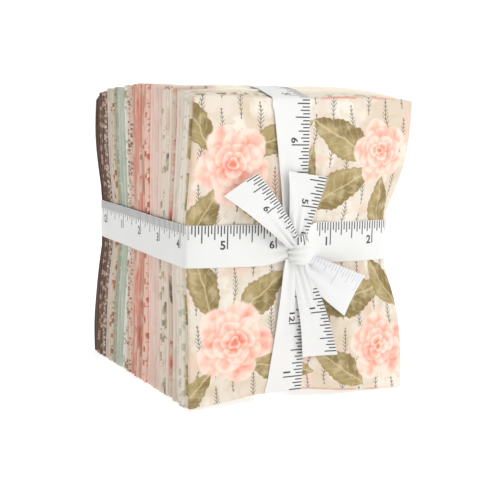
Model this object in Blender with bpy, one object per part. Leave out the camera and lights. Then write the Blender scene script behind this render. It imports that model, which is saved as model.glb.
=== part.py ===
"""A stack of folded fat quarters, standing on edge and tied both ways with printed cotton tape.

Metres, +Z up. The front quarter faces -Y, the round folds are on the -X side, and the stack stands on
z = 0. Each quarter is an 18 x 22 inch piece folded in four both ways. Its solid is the back-and-forth
section of its four layers, seen from above, with two folds on the left and one on the right, drawn up
along Z, drawn in at the waist by the tape and grooved underneath where the tape passes. Each layer of
that section stands for the four thicknesses of thin cloth that lie together there.
"""

import math
from collections import namedtuple

import bmesh
import bpy
from mathutils import Vector

MM = 0.001
INCH = 0.0254

# The cloth: an 18 x 22 inch quarter folded in four both ways
CUT_WIDTH = 18 * INCH
CUT_LENGTH = 22 * INCH
FOLD_WIDTH = CUT_WIDTH / 4
FOLD_HEIGHT = CUT_LENGTH / 4
STACK_DEPTH = 132 * MM
LAYERS = 4
LAYER_GAP = 0.3 * MM
QUARTER_GAP = 0.3 * MM
RAW_EDGE_SETBACK = 1.2 * MM
BEND_X = 28 * MM  # each layer bends at this distance either side of its middle
LEFT_FOLD_STEPS = 3
RIGHT_FOLD_STEPS = 2

# How the stack bulges: the middle quarters stand higher, and the tape draws the waist in
DOME_RISE = 4.6 * MM
DOME_POWER = 0.8
END_ROUND = 2.2 * MM
END_THICKNESS = 0.72
END_DRAW_IN = 1.0 * MM
WAIST_Z = 72.6 * MM
WAIST_FLAT = 11 * MM
WAIST_REACH = 22 * MM
WAIST_POWER = 1.4
WAIST_DEPTH_SHARE = 0.085
WAIST_CORNER_SHARE = 0.055
WAIST_RIGHT_PINCH = 8 * MM
WAIST_LEFT_PINCH = 1.5 * MM
WAIST_PINCH_POWER = 3
WAIST_CORNER_POWER = 4
BODY_RING_HEIGHTS = (37 * MM, WAIST_Z - WAIST_FLAT, WAIST_Z + WAIST_FLAT, 110 * MM)
# A quarter's rings, from the floor up: its two rounded ends, and the body's heights between them
FLOOR, FOOT, LOW, WAIST_LOW, WAIST_HIGH, HIGH, SHOULDER, TOP = range(8)

# The tape, three quarters of an inch wide
TAPE_WIDTH = 0.75 * INCH
TAPE_THICK = 1.0 * MM
TAPE_GAP = 0.3 * MM
TAPE_STAND = TAPE_GAP + TAPE_THICK / 2
UPRIGHT_X = -8.7 * MM
GROOVE_SIDE_ROOM = 0.5 * MM
GROOVE_HEIGHT = TAPE_THICK + TAPE_GAP
GROOVE_OVERRUN = 10 * MM  # how far the cutter runs past the stack at each end

# The knot at the front of the waist
KNOT_X = -4 * MM
KNOT_Z = 68.5 * MM
KNOT_HALF_WIDTH = 5.5 * MM
KNOT_HALF_HEIGHT = 8 * MM
KNOT_DEPTH = 7.5 * MM
KNOT_SIDES = 20
KNOT_LUMPS = 5
KNOT_LUMP_SHARE = 0.06
NECK_HALF_WIDTH = 4.6 * MM  # the standing band where the knot gathers it
NECK_SPREAD = 0.4 * MM
GATHER_REACH = 13 * MM  # how far from the knot the level band starts to narrow
GATHER_SHARE = 0.85  # the level band's half width at the knot, over the knot's half height
GATHER_LIFT_SHARE = 0.3  # how much of the way up to the waist's middle the gathered band sits

# share: how far back from the cloth to the front of the knot; size: how wide the knot is there
KnotRing = namedtuple("KnotRing", "share size")
KNOT_RINGS = (
    KnotRing(0.0, 0.82),
    KnotRing(0.2, 0.98),
    KnotRing(0.55, 1.0),
    KnotRing(0.82, 0.88),
    KnotRing(1.0, 0.52),
)

# extra: thickness over the thinnest quarter; out: how far its fold stands out of the side;
# rise: how far its top stands over its neighbours'; colour: the cloth's main colour, sRGB
Quarter = namedtuple("Quarter", "name extra out rise colour")
QUARTERS = (
    Quarter("quarter_01_cream_floral", 0.0, 0.6, 0.0, (236, 222, 200)),
    Quarter("quarter_02_cream_mint", 2.0, 0.9, -0.5, (222, 220, 205)),
    Quarter("quarter_03_stone_cream", 2.0, 0.5, 0.2, (213, 207, 193)),
    Quarter("quarter_04_cream_coral_sprig", 1.5, -0.7, 0.6, (228, 208, 190)),
    Quarter("quarter_05_cream_olive_sprig", 0.0, -0.2, 0.0, (226, 220, 200)),
    Quarter("quarter_06_ivory", 0.4, 0.1, 0.5, (229, 222, 206)),
    Quarter("quarter_07_blush", 2.6, 0.3, 0.2, (231, 204, 192)),
    Quarter("quarter_08_pink", 2.0, -0.3, 0.9, (228, 190, 178)),
    Quarter("quarter_09_pink_coral_print", 0.0, 0.2, 0.3, (230, 180, 165)),
    Quarter("quarter_10_pinkish_cream", 0.0, -0.4, 0.7, (230, 205, 190)),
    Quarter("quarter_11_coral", 0.3, 0.4, 1.0, (222, 122, 100)),
    Quarter("quarter_12_peach", 0.0, 0.0, 0.4, (232, 172, 150)),
    Quarter("quarter_13_red_speckle", 2.0, 0.3, 0.1, (200, 160, 145)),
    Quarter("quarter_14_grey_cream", 0.0, -0.5, 0.5, (212, 214, 206)),
    Quarter("quarter_15_sage", 2.7, 0.2, -0.2, (190, 206, 190)),
    Quarter("quarter_16_grey_green", 0.3, -0.2, 0.4, (172, 188, 172)),
    Quarter("quarter_17_olive_cream", 0.2, 0.3, 0.0, (208, 200, 176)),
    Quarter("quarter_18_taupe", 0.2, -0.1, 0.5, (176, 160, 148)),
    Quarter("quarter_19_brown_cream_print", 0.0, 0.2, -0.4, (120, 98, 86)),
    Quarter("quarter_20_brown_pink_print", 1.9, 0.4, 0.2, (128, 100, 88)),
    Quarter("quarter_21_dark_brown", 1.5, 0.0, 0.0, (96, 74, 64)),
)
THINNEST_PITCH = 5.05 * MM

# The four free ends. root_angle: where the end leaves the knot, in degrees from +X up towards +Z.
# near and far: the two corners of its cut end, x and z from the stack's middle and the surface.
# root_lift, mid_lift, end_lift: how far it stands off the front cloth. All lengths in millimetres.
# widening: 1 where it widens evenly from the knot to its cut, less where it opens out at once.
TapeEnd = namedtuple("TapeEnd", "name root_angle near far root_lift mid_lift end_lift widening reverse")
TAPE_ENDS = (
    TapeEnd("tape_end_upper_left", 132, (-42.3, 96.4), (-24.9, 106.4), 5.4, 6.2, 4.6, 0.9, False),
    TapeEnd("tape_end_upper_right", 84, (-10.3, 107.3), (9.7, 104.6), 3.6, 4.4, 3.2, 0.9, False),
    TapeEnd("tape_end_lower", 286, (20.0, 19.7), (1.0, 20.1), 3.2, 3.6, 2.8, 0.9, False),
    TapeEnd("tape_end_reverse", 330, (30.9, 58.2), (23.2, 38.9), 5.4, 6.0, 3.6, 0.45, True),
)
END_ROOT_HALF_WIDTH = 3.8 * MM
END_BOW_SHARE = 0.5  # how far along its length an end keeps the direction in which it leaves the knot
END_STEPS = 6

TAPE_WHITE = (238, 238, 236)
TAPE_REVERSE = (226, 227, 228)
CLOTH_ROUGHNESS = 0.9
TAPE_ROUGHNESS = 0.55
CREASE_ANGLE = math.radians(40)  # edges sharper than this are shaded as edges


def clear_scene():
    """Remove whatever the scene starts with."""
    for obj in list(bpy.data.objects):
        bpy.data.objects.remove(obj, do_unlink=True)


def linear(channel):
    """One sRGB channel, 0 to 255, as scene-linear light."""
    share = channel / 255
    return share / 12.92 if share <= 0.04045 else ((share + 0.055) / 1.055) ** 2.4


def cloth_material(name, colour, roughness):
    """A plain Principled material of an sRGB colour."""
    material = bpy.data.materials.new(name)
    material.use_nodes = True
    shader = material.node_tree.nodes["Principled BSDF"]
    shader.inputs["Base Color"].default_value = (*map(linear, colour), 1)
    shader.inputs["Roughness"].default_value = roughness
    shader.inputs["Metallic"].default_value = 0
    return material


def add_object(name, mesh_data, material):
    """An object of this name from a bmesh, with its normals turned outwards."""
    bmesh.ops.recalc_face_normals(mesh_data, faces=mesh_data.faces)
    mesh = bpy.data.meshes.new(name)
    mesh_data.to_mesh(mesh)
    mesh_data.free()
    mesh.shade_smooth()
    mesh.set_sharp_from_angle(angle=CREASE_ANGLE)
    mesh.materials.append(material)
    obj = bpy.data.objects.new(name, mesh)
    bpy.context.scene.collection.objects.link(obj)
    return obj


def loft(rings):
    """A closed bmesh through rings of as many points each, capped at both ends.

    Every wall is cut along the diagonal that rises towards +X, so that two curved layers that lie
    face to face stay the same distance apart.
    """
    lofted = bmesh.new()
    rows = [[lofted.verts.new(point) for point in ring] for ring in rings]
    count = len(rows[0])
    for low, high in zip(rows, rows[1:]):
        for i in range(count):
            j = (i + 1) % count
            if low[i].co.x < low[j].co.x:
                lofted.faces.new((low[i], low[j], high[j]))
                lofted.faces.new((low[i], high[j], high[i]))
            else:
                lofted.faces.new((low[i], low[j], high[i]))
                lofted.faces.new((low[j], high[j], high[i]))
    lofted.faces.new(reversed(rows[0]))
    lofted.faces.new(rows[-1])
    return lofted


# The stack's shape


def waist_pull(z):
    """How much of the waist's full pinch reaches this height, from 0 to 1."""
    beyond = max(abs(z - WAIST_Z) - WAIST_FLAT, 0)
    return math.exp(-((beyond / WAIST_REACH) ** WAIST_POWER))


def squeeze(x, y, z):
    """Where a point of the straight stack goes when the tape is drawn tight round its waist."""
    pull = waist_pull(z)
    side = x / (FOLD_WIDTH / 2)
    pinch = WAIST_RIGHT_PINCH if side > 0 else WAIST_LEFT_PINCH
    inward = pinch * abs(side) ** WAIST_PINCH_POWER
    drawn = WAIST_DEPTH_SHARE + WAIST_CORNER_SHARE * abs(side) ** WAIST_CORNER_POWER
    return Vector((x - math.copysign(pull * inward, side), y * (1 - pull * drawn), z))


def top_of(middle_y, rise):
    """The height of a quarter whose middle is at this depth: the stack is domed from front to back."""
    along = min(max(middle_y / STACK_DEPTH + 0.5, 0), 1)
    return FOLD_HEIGHT + DOME_RISE * math.sin(math.pi * along) ** DOME_POWER + rise * MM


def quarter_depths():
    """The front and back y of each quarter, shared out over the stack's depth by the table."""
    spare = STACK_DEPTH - THINNEST_PITCH * len(QUARTERS)
    unit = spare / sum(quarter.extra for quarter in QUARTERS)
    depths = []
    front = -STACK_DEPTH / 2
    for quarter in QUARTERS:
        pitch = THINNEST_PITCH + unit * quarter.extra
        depths.append((front + QUARTER_GAP / 2, front + pitch - QUARTER_GAP / 2))
        front += pitch
    return depths


def arc(centre_x, centre_y, radius, start, stop, steps):
    """Points inside an arc, with the outward normal at each, leaving out both ends."""
    found = []
    for i in range(1, steps):
        angle = math.radians(start + (stop - start) * i / steps)
        normal = Vector((math.cos(angle), math.sin(angle)))
        found.append((Vector((centre_x, centre_y)) + radius * normal, normal))
    return found


def fold_path(left, right, front, back):
    """The middle line of the layers, seen from above, as points with a normal each.

    It runs from the front layer's raw edge on the right to the first fold on the left, and so back
    and forth to the rear layer's raw edge. The normal stays on the same side of the cloth.
    """
    layer = (back - front - (LAYERS - 1) * LAYER_GAP) / LAYERS
    pitch = layer + LAYER_GAP
    radius = pitch / 2
    turn_left = left + radius + layer / 2
    turn_right = right - radius - layer / 2
    raw = right - RAW_EDGE_SETBACK
    path = []
    for i in range(LAYERS):
        y = front + layer / 2 + pitch * i
        leftward = i % 2 == 0
        outer_end = raw if i in (0, LAYERS - 1) else turn_right
        stops = (outer_end, BEND_X, -BEND_X, turn_left)
        normal = Vector((0, -1 if leftward else 1))
        path += [(Vector((x, y)), normal) for x in (stops if leftward else stops[::-1])]
        if i == LAYERS - 1:
            break
        if leftward:
            path += arc(turn_left, y + radius, radius, 270, 90, LEFT_FOLD_STEPS)
        else:
            # the normals point into this fold, because it turns the other way
            fold = arc(turn_right, y + radius, radius, -90, 90, RIGHT_FOLD_STEPS)
            path += [(point, -normal) for point, normal in fold]
    return path, layer


def fold_outline(left, right, front, back):
    """The closed outline of the folded layers, as points x, y."""
    path, layer = fold_path(left, right, front, back)
    outer = [point + normal * layer / 2 for point, normal in path]
    inner = [point - normal * layer / 2 for point, normal in path]
    return outer + inner[::-1]


def quarter_rings(quarter, front, back):
    """The quarter's outline at each of its heights, before the groove for the tape is cut."""
    left = -FOLD_WIDTH / 2 - quarter.out * MM
    outline = fold_outline(left, FOLD_WIDTH / 2, front, back)
    middle = (front + back) / 2
    top = top_of(middle, quarter.rise)
    levels = [(0, END_THICKNESS), (END_ROUND, 1)]
    levels += [(z, 1) for z in BODY_RING_HEIGHTS]
    levels += [(top - END_ROUND, 1), (top, END_THICKNESS)]
    rings = []
    for z, share in levels:
        draw = END_DRAW_IN * (1 - share) / (1 - END_THICKNESS)
        shrink = 1 - 2 * draw / FOLD_WIDTH
        rings.append([squeeze(x * shrink, middle + (y - middle) * share, z) for x, y in outline])
    return rings


def tape_groove_cutter():
    """The hidden block that cuts the tape's shallow groove under every quarter."""
    half = TAPE_WIDTH / 2 + GROOVE_SIDE_ROOM
    depth = STACK_DEPTH / 2 + GROOVE_OVERRUN
    ends = []
    for x in (UPRIGHT_X - half, UPRIGHT_X + half):
        ends.append(
            [
                Vector((x, -depth, -GROOVE_HEIGHT)),
                Vector((x, depth, -GROOVE_HEIGHT)),
                Vector((x, depth, GROOVE_HEIGHT)),
                Vector((x, -depth, GROOVE_HEIGHT)),
            ]
        )
    material = cloth_material("groove_cutter", TAPE_WHITE, TAPE_ROUGHNESS)
    cutter = add_object("groove_cutter", loft(ends), material)
    cutter.hide_render = True
    cutter.display_type = "WIRE"
    return cutter


def build_quarters(cutter):
    """One object for each quarter. Returns the rings of each, which the tape is laid round."""
    all_rings = []
    for quarter, (front, back) in zip(QUARTERS, quarter_depths()):
        rings = quarter_rings(quarter, front, back)
        material = cloth_material(quarter.name, quarter.colour, CLOTH_ROUGHNESS)
        obj = add_object(quarter.name, loft(rings), material)
        groove = obj.modifiers.new("tape groove", "BOOLEAN")
        groove.operation = "DIFFERENCE"
        groove.solver = "EXACT"
        groove.object = cutter
        all_rings.append(rings)
    return all_rings


# The tape


def hull(points):
    """The corners of the taut outline round these flat points, anticlockwise."""
    ordered = sorted(points, key=lambda p: (p.x, p.y))
    corners = []
    for run in (ordered, ordered[::-1]):
        side = []
        for point in run:
            while len(side) > 1 and (side[-1] - side[-2]).cross(point - side[-1]) <= 0:
                side.pop()
            side.append(point)
        corners += side[:-1]
    return corners


def mitres(line):
    """At each point of an open flat line, the vector to its right that keeps an offset parallel."""
    normals = []
    for start, stop in zip(line, line[1:]):
        along = (stop - start).normalized()
        normals.append(Vector((along.y, -along.x)))
    inner = [(a + b) / (1 + a.dot(b)) for a, b in zip(normals, normals[1:])]
    return [normals[0], *inner, normals[-1]]


def strap(name, stations, material):
    """A strip of tape through stations of centre, half width vector and half thickness vector."""
    rings = []
    for centre, across, out in stations:
        near, far = centre - out, centre + out
        rings.append([near - across, near + across, far + across, far - across])
    return add_object(name, loft(rings), material)


def face_of(ring, x, pick):
    """The foremost (pick=min) or rearmost (pick=max) depth of a ring at this x."""
    found = []
    for a, b in zip(ring, ring[1:] + ring[:1]):
        if min(a.x, b.x) <= x <= max(a.x, b.x) and a.x != b.x:
            found.append(a.y + (b.y - a.y) * (x - a.x) / (b.x - a.x))
    return pick(found)


def front_at(rings, x, z):
    """The depth of the front quarter's face at this x and height, on its straight stretches."""
    for low, high in zip(rings[0], rings[0][1:]):
        if low[0].z <= z <= high[0].z:
            share = (z - low[0].z) / (high[0].z - low[0].z)
            return (1 - share) * face_of(low, x, min) + share * face_of(high, x, min)
    raise ValueError("that height is outside the front quarter")


def waist_line(rings):
    """The taut line round the waist, from the corner on the knot's right round to that on its left."""
    points = [point.xy for quarter in rings for point in quarter[WAIST_LOW]]
    # at the back the level band passes over the standing one
    for x in (UPRIGHT_X - TAPE_WIDTH / 2, UPRIGHT_X + TAPE_WIDTH / 2):
        back = face_of(rings[-1][WAIST_LOW], x, max)
        points.append(Vector((x, back + TAPE_GAP + TAPE_THICK)))
    line = [p for p in hull(points) if p.y > 0 or abs(p.x - KNOT_X) >= GATHER_REACH]
    start = min((p for p in line if p.y < 0 and p.x > KNOT_X), key=lambda p: p.x)
    turn = line.index(start)
    return line[turn:] + line[:turn]


def build_tape_across(rings, material):
    """The level band: the taut line round the waist, open at the front for the knot."""
    line = waist_line(rings)
    first, last = line[0], line[-1]
    gap = KNOT_HALF_WIDTH + TAPE_GAP

    def on_front(x):
        return last + (first - last) * (x - last.x) / (first.x - last.x)

    line = [on_front(KNOT_X + gap), on_front(KNOT_X + GATHER_REACH), *line]
    line += [on_front(KNOT_X - GATHER_REACH), on_front(KNOT_X - gap)]
    stations = []
    for point, mitre in zip(line, mitres(line)):
        gathered = point in (line[0], line[-1])
        half = KNOT_HALF_HEIGHT * GATHER_SHARE if gathered else TAPE_WIDTH / 2
        height = KNOT_Z + GATHER_LIFT_SHARE * (WAIST_Z - KNOT_Z) if gathered else WAIST_Z
        place = point + mitre * TAPE_STAND
        centre = Vector((place.x, place.y, height))
        stations.append((centre, Vector((0, 0, half)), (mitre * TAPE_THICK / 2).to_3d()))
    return strap("tape_across", stations, material)


def crown_line(rings):
    """The taut line over the quarters' tops under the standing band, as points y, z from the front."""
    tops = []
    for quarter in rings:
        z = quarter[TOP][0].z
        tops += [Vector((face_of(quarter[TOP], UPRIGHT_X, pick), z)) for pick in (min, max)]
    outline = hull(tops)
    first = min(outline, key=lambda p: p.x)
    last = max(outline, key=lambda p: p.x)
    over = [p for p in outline if (last - first).cross(p - first) >= 0 or p in (first, last)]
    return sorted(over, key=lambda p: p.x)


def at_ring(ring, x, pick):
    """The point y, z of a ring's front (pick=min) or back (pick=max) at this x."""
    return Vector((face_of(ring, x, pick), ring[0].z))


def groove_edge(rings, pick):
    """The point y, z where the groove under the stack opens at its front or its back."""
    floor, foot = (at_ring(rings[i], UPRIGHT_X, pick) for i in (FLOOR, FOOT))
    return floor + (foot - floor) * GROOVE_HEIGHT / END_ROUND


def build_tape_upright(rings, material):
    """The standing band: from the knot up the front, over the top, down the back and under."""
    front_rings, back_rings = rings[0], rings[-1]
    neck_top = KNOT_Z + KNOT_HALF_HEIGHT + TAPE_GAP
    neck_bottom = KNOT_Z - KNOT_HALF_HEIGHT - TAPE_GAP
    waist_half = NECK_HALF_WIDTH + NECK_SPREAD
    # the necks at the knot are narrow and stand under it; all between them has the tape's full width
    above_knot = [
        (Vector((front_at(rings, KNOT_X, neck_top), neck_top)), NECK_HALF_WIDTH),
        (at_ring(front_rings[WAIST_HIGH], KNOT_X, min), waist_half),
    ]
    below_knot = [(Vector((front_at(rings, KNOT_X, neck_bottom), neck_bottom)), NECK_HALF_WIDTH)]
    full = [at_ring(front_rings[i], UPRIGHT_X, min) for i in (HIGH, SHOULDER)]
    full += crown_line(rings)
    down = (SHOULDER, HIGH, WAIST_HIGH, WAIST_LOW, LOW, FOOT)
    full += [at_ring(back_rings[i], UPRIGHT_X, max) for i in down]
    full += [groove_edge(back_rings, max), groove_edge(front_rings, min)]
    full += [at_ring(front_rings[i], UPRIGHT_X, min) for i in (FOOT, LOW)]
    profile = [(point, KNOT_X, half) for point, half in above_knot]
    profile += [(point, UPRIGHT_X, TAPE_WIDTH / 2) for point in full]
    profile += [(point, KNOT_X, half) for point, half in below_knot]
    stations = []
    for (point, x, half), mitre in zip(profile, mitres([point for point, _, _ in profile])):
        place = point - mitre * TAPE_STAND
        out = -mitre * TAPE_THICK / 2
        centre = Vector((x, place.x, place.y))
        stations.append((centre, Vector((half, 0, 0)), Vector((0, out.x, out.y))))
    return strap("tape_upright", stations, material)


def knot_radius(angle):
    """The knot's half width, seen from the front, in this direction."""
    across = math.cos(angle) / KNOT_HALF_WIDTH
    up = math.sin(angle) / KNOT_HALF_HEIGHT
    lump = 1 - KNOT_LUMP_SHARE * (0.5 - 0.5 * math.cos(KNOT_LUMPS * angle))
    return lump / math.hypot(across, up)


def build_knot(rings, material):
    """The knot: a lumpy block of tightly wrapped tape, with its back to the front cloth."""
    back = front_at(rings, KNOT_X, KNOT_Z) - TAPE_GAP
    knot_rings = []
    for ring in KNOT_RINGS:
        y = back - ring.share * KNOT_DEPTH
        points = []
        for i in range(KNOT_SIDES):
            angle = 2 * math.pi * i / KNOT_SIDES
            reach = knot_radius(angle) * ring.size
            x = KNOT_X + reach * math.cos(angle)
            z = KNOT_Z + reach * math.sin(angle)
            points.append(Vector((x, y, z)))
        knot_rings.append(points)
    return add_object("tape_knot", loft(knot_rings), material)


def build_tape_end(rings, end, material):
    """One free end: it widens from the knot to its cut, standing a little off the front cloth."""
    angle = math.radians(end.root_angle)
    leave = Vector((math.cos(angle), math.sin(angle)))
    root = Vector((KNOT_X, KNOT_Z)) + leave * (knot_radius(angle) + TAPE_GAP)
    near, far = Vector(end.near) * MM, Vector(end.far) * MM
    cut = (near + far) / 2
    side = Vector((-leave.y, leave.x))
    if side.dot(near - far) < 0:
        side.negate()
    bow = root + leave * (cut - root).length * END_BOW_SHARE

    def blend(start, middle, stop, t):
        return start * (1 - t) ** 2 + middle * 2 * t * (1 - t) + stop * t**2

    stations = []
    for i in range(END_STEPS):
        t = i / (END_STEPS - 1)
        middle = blend(root, bow, cut, t)
        opening = t**end.widening
        half = side * END_ROOT_HALF_WIDTH * (1 - opening) + (near - far) / 2 * opening
        lift = blend(end.root_lift, end.mid_lift, end.end_lift, t) * MM
        y = front_at(rings, middle.x, middle.y) - lift
        centre = Vector((middle.x, y, middle.y))
        stations.append((centre, Vector((half.x, 0, half.y)), Vector((0, -TAPE_THICK / 2, 0))))
    return strap(end.name, stations, material)


def build_tape(rings):
    """Both bands, the knot and the four free ends."""
    white = cloth_material("tape_white", TAPE_WHITE, TAPE_ROUGHNESS)
    reverse = cloth_material("tape_reverse", TAPE_REVERSE, TAPE_ROUGHNESS)
    build_tape_across(rings, white)
    build_tape_upright(rings, white)
    build_knot(rings, white)
    for end in TAPE_ENDS:
        build_tape_end(rings, end, reverse if end.reverse else white)


def centre_on_origin():
    """Move everything so that the middle of the whole box stands over the origin."""
    built = [obj for obj in bpy.data.objects if not obj.hide_render]
    corners = [obj.matrix_world @ Vector(corner) for obj in built for corner in obj.bound_box]
    middle_x = (min(c.x for c in corners) + max(c.x for c in corners)) / 2
    middle_y = (min(c.y for c in corners) + max(c.y for c in corners)) / 2
    for obj in bpy.data.objects:
        obj.location = (-middle_x, -middle_y, 0)


def main():
    clear_scene()
    rings = build_quarters(tape_groove_cutter())
    build_tape(rings)
    bpy.context.view_layer.update()
    centre_on_origin()


main()
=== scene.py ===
"""Looks of a stack of folded fat quarters, tied both ways with a printed measuring tape.

Metres, +Z up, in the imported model's frame. Every quarter is folded from its flat sheet of cloth, the tape
is laid round the folded quarters, and its marks are printed along its length.
"""

import logging
import math
from bisect import bisect_right
from dataclasses import dataclass, field
from enum import Enum
from typing import Callable, Iterable, Iterator, Sequence

import bpy
from mathutils import Matrix, Vector, noise


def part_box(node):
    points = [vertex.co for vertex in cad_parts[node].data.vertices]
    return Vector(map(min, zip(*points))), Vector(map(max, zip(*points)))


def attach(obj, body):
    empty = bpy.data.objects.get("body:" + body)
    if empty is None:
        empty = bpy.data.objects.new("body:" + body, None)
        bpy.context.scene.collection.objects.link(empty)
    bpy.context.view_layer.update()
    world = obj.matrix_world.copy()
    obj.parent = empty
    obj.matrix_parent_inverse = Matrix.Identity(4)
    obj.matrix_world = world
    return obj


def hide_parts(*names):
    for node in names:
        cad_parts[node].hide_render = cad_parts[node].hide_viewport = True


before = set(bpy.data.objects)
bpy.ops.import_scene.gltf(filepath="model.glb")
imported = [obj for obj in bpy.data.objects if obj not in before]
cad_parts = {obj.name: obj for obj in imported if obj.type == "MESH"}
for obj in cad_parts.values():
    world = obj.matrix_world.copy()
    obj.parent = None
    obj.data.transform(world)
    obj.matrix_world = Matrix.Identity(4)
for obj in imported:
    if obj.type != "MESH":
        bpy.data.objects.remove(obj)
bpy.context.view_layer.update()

logging.basicConfig(level=logging.INFO, format="%(message)s")
LOG = logging.getLogger("fat_quarters")

MM = 0.001
INCH = 0.0254
ROOT = "root"
FLAT_WIDTH = 18 * INCH
FLAT_LENGTH = 22 * INCH
CLOTH_THICKNESS = 0.2 * MM
TAPE_THICKNESS = 0.35 * MM
TAPE_WIDTH = 0.75 * INCH
PRINTED_INCH = 0.98 * INCH
LAYERS = 4
QUARTER_GAP = 0.3 * MM
THINNEST_PITCH = 5.05 * MM

Rgb = tuple[int, int, int]


# Helpers


def linear(colour: Rgb) -> tuple[float, float, float, float]:
    """An sRGB colour of 0 to 255 as scene-linear light.

    Args:
        colour: red, green and blue.

    Returns:
        The same colour as a shader reads it, with full alpha.
    """
    shares = [channel / 255 for channel in colour]
    bent = [s / 12.92 if s <= 0.04045 else ((s + 0.055) / 1.055) ** 2.4 for s in shares]
    return bent[0], bent[1], bent[2], 1.0


def smooth(value: float, start: float, stop: float) -> float:
    """0 at start, 1 at stop, and an even curve between them."""
    share = min(max((value - start) / (stop - start), 0.0), 1.0)
    return share * share * (3 - 2 * share)


def blend(start: float, middle: float, stop: float, share: float) -> float:
    """A quadratic curve from start to stop that leans towards middle."""
    return start * (1 - share) ** 2 + middle * 2 * share * (1 - share) + stop * share**2


def select_only(obj: bpy.types.Object) -> None:
    """Make one object active and the only one selected, ready for an operator.

    Args:
        obj: the object.
    """
    bpy.ops.object.select_all(action="DESELECT")
    obj.select_set(True)
    bpy.context.view_layer.objects.active = obj


def sheet_mesh(
    name: str, columns: Sequence[float], rows: Sequence[float], place: Callable[[int, int], Vector]
) -> bpy.types.Object:
    """A flat grid of cloth, with each of its points moved to where the fold puts it.

    Args:
        name: the new object's name.
        columns: each column's share of the cloth's width, from 0 to 1, for the UV map.
        rows: each row's share of the cloth's length, from 0 to 1.
        place: where the point at this column and row goes.

    Returns:
        The new object, with one open surface.
    """
    across, along = len(columns) - 1, len(rows) - 1
    bpy.ops.object.select_all(action="DESELECT")
    bpy.ops.mesh.primitive_grid_add(x_subdivisions=across, y_subdivisions=along, size=1)
    obj = bpy.context.object
    obj.name = obj.data.name = name
    spots = []
    for vertex in obj.data.vertices:
        spots.append((round((vertex.co.x + 0.5) * across), round((vertex.co.y + 0.5) * along)))
    for vertex, (i, j) in zip(obj.data.vertices, spots):
        vertex.co = place(i, j)
    uvs = obj.data.uv_layers[0].data
    for loop in obj.data.loops:
        i, j = spots[loop.vertex_index]
        uvs[loop.index].uv = (columns[i], rows[j])
    return obj


def thicken(obj: bpy.types.Object, thickness: float, smooth_angle: float) -> None:
    """Give an open surface its thickness, half to each side, and shade its soft edges smooth.

    Args:
        obj: the surface.
        thickness: the whole thickness, in metres.
        smooth_angle: edges sharper than this, in degrees, stay sharp.
    """
    select_only(obj)
    solid = obj.modifiers.new("thickness", "SOLIDIFY")
    solid.thickness = thickness
    solid.offset = 0
    bpy.ops.object.modifier_apply(modifier=solid.name)
    bpy.ops.object.shade_smooth_by_angle(angle=math.radians(smooth_angle))


def give_finish(obj: bpy.types.Object, material: bpy.types.Material) -> None:
    """Give a whole piece this one finish."""
    obj.data.materials.clear()
    obj.data.materials.append(material)


# Painting with nodes


def darker(colour: Rgb, share: float) -> Rgb:
    """The colour with only this share of its light."""
    return tuple(int(channel * share) for channel in colour)


def new_material(
    name: str, roughness: float, specular: float = 0.5, sheen: float = 0.0
) -> tuple[bpy.types.Material, bpy.types.NodeTree, bpy.types.Node]:
    """A material whose shader has its plain settings.

    Args:
        name: its name.
        roughness: how matt it is.
        specular: how strongly it shines.
        sheen: how much its fibres catch the light.

    Returns:
        The material, its nodes and its shader.
    """
    material = bpy.data.materials.new(name)
    material.use_nodes = True
    shader = material.node_tree.nodes["Principled BSDF"]
    shader.inputs["Roughness"].default_value = roughness
    shader.inputs["Specular IOR Level"].default_value = specular
    shader.inputs["Sheen Weight"].default_value = sheen
    return material, material.node_tree, shader


def mix_colours(
    tree: bpy.types.NodeTree, low: "Rgb | bpy.types.NodeSocket", high: "Rgb | bpy.types.NodeSocket",
    share: bpy.types.NodeSocket,
) -> bpy.types.NodeSocket:
    """The colour between two others.

    Args:
        tree: the material's nodes.
        low: the colour at share 0.
        high: the colour at share 1.
        share: where between them.

    Returns:
        The mixed colour's socket.
    """
    mix = tree.nodes.new("ShaderNodeMix")
    mix.data_type = "RGBA"
    tree.links.new(share, mix.inputs["Factor"])
    slots = [slot for slot in mix.inputs if slot.type == "RGBA"]
    for slot, colour in zip(slots, (low, high)):
        if isinstance(colour, tuple):
            slot.default_value = linear(colour)
        else:
            tree.links.new(colour, slot)
    return next(slot for slot in mix.outputs if slot.type == "RGBA")


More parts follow.
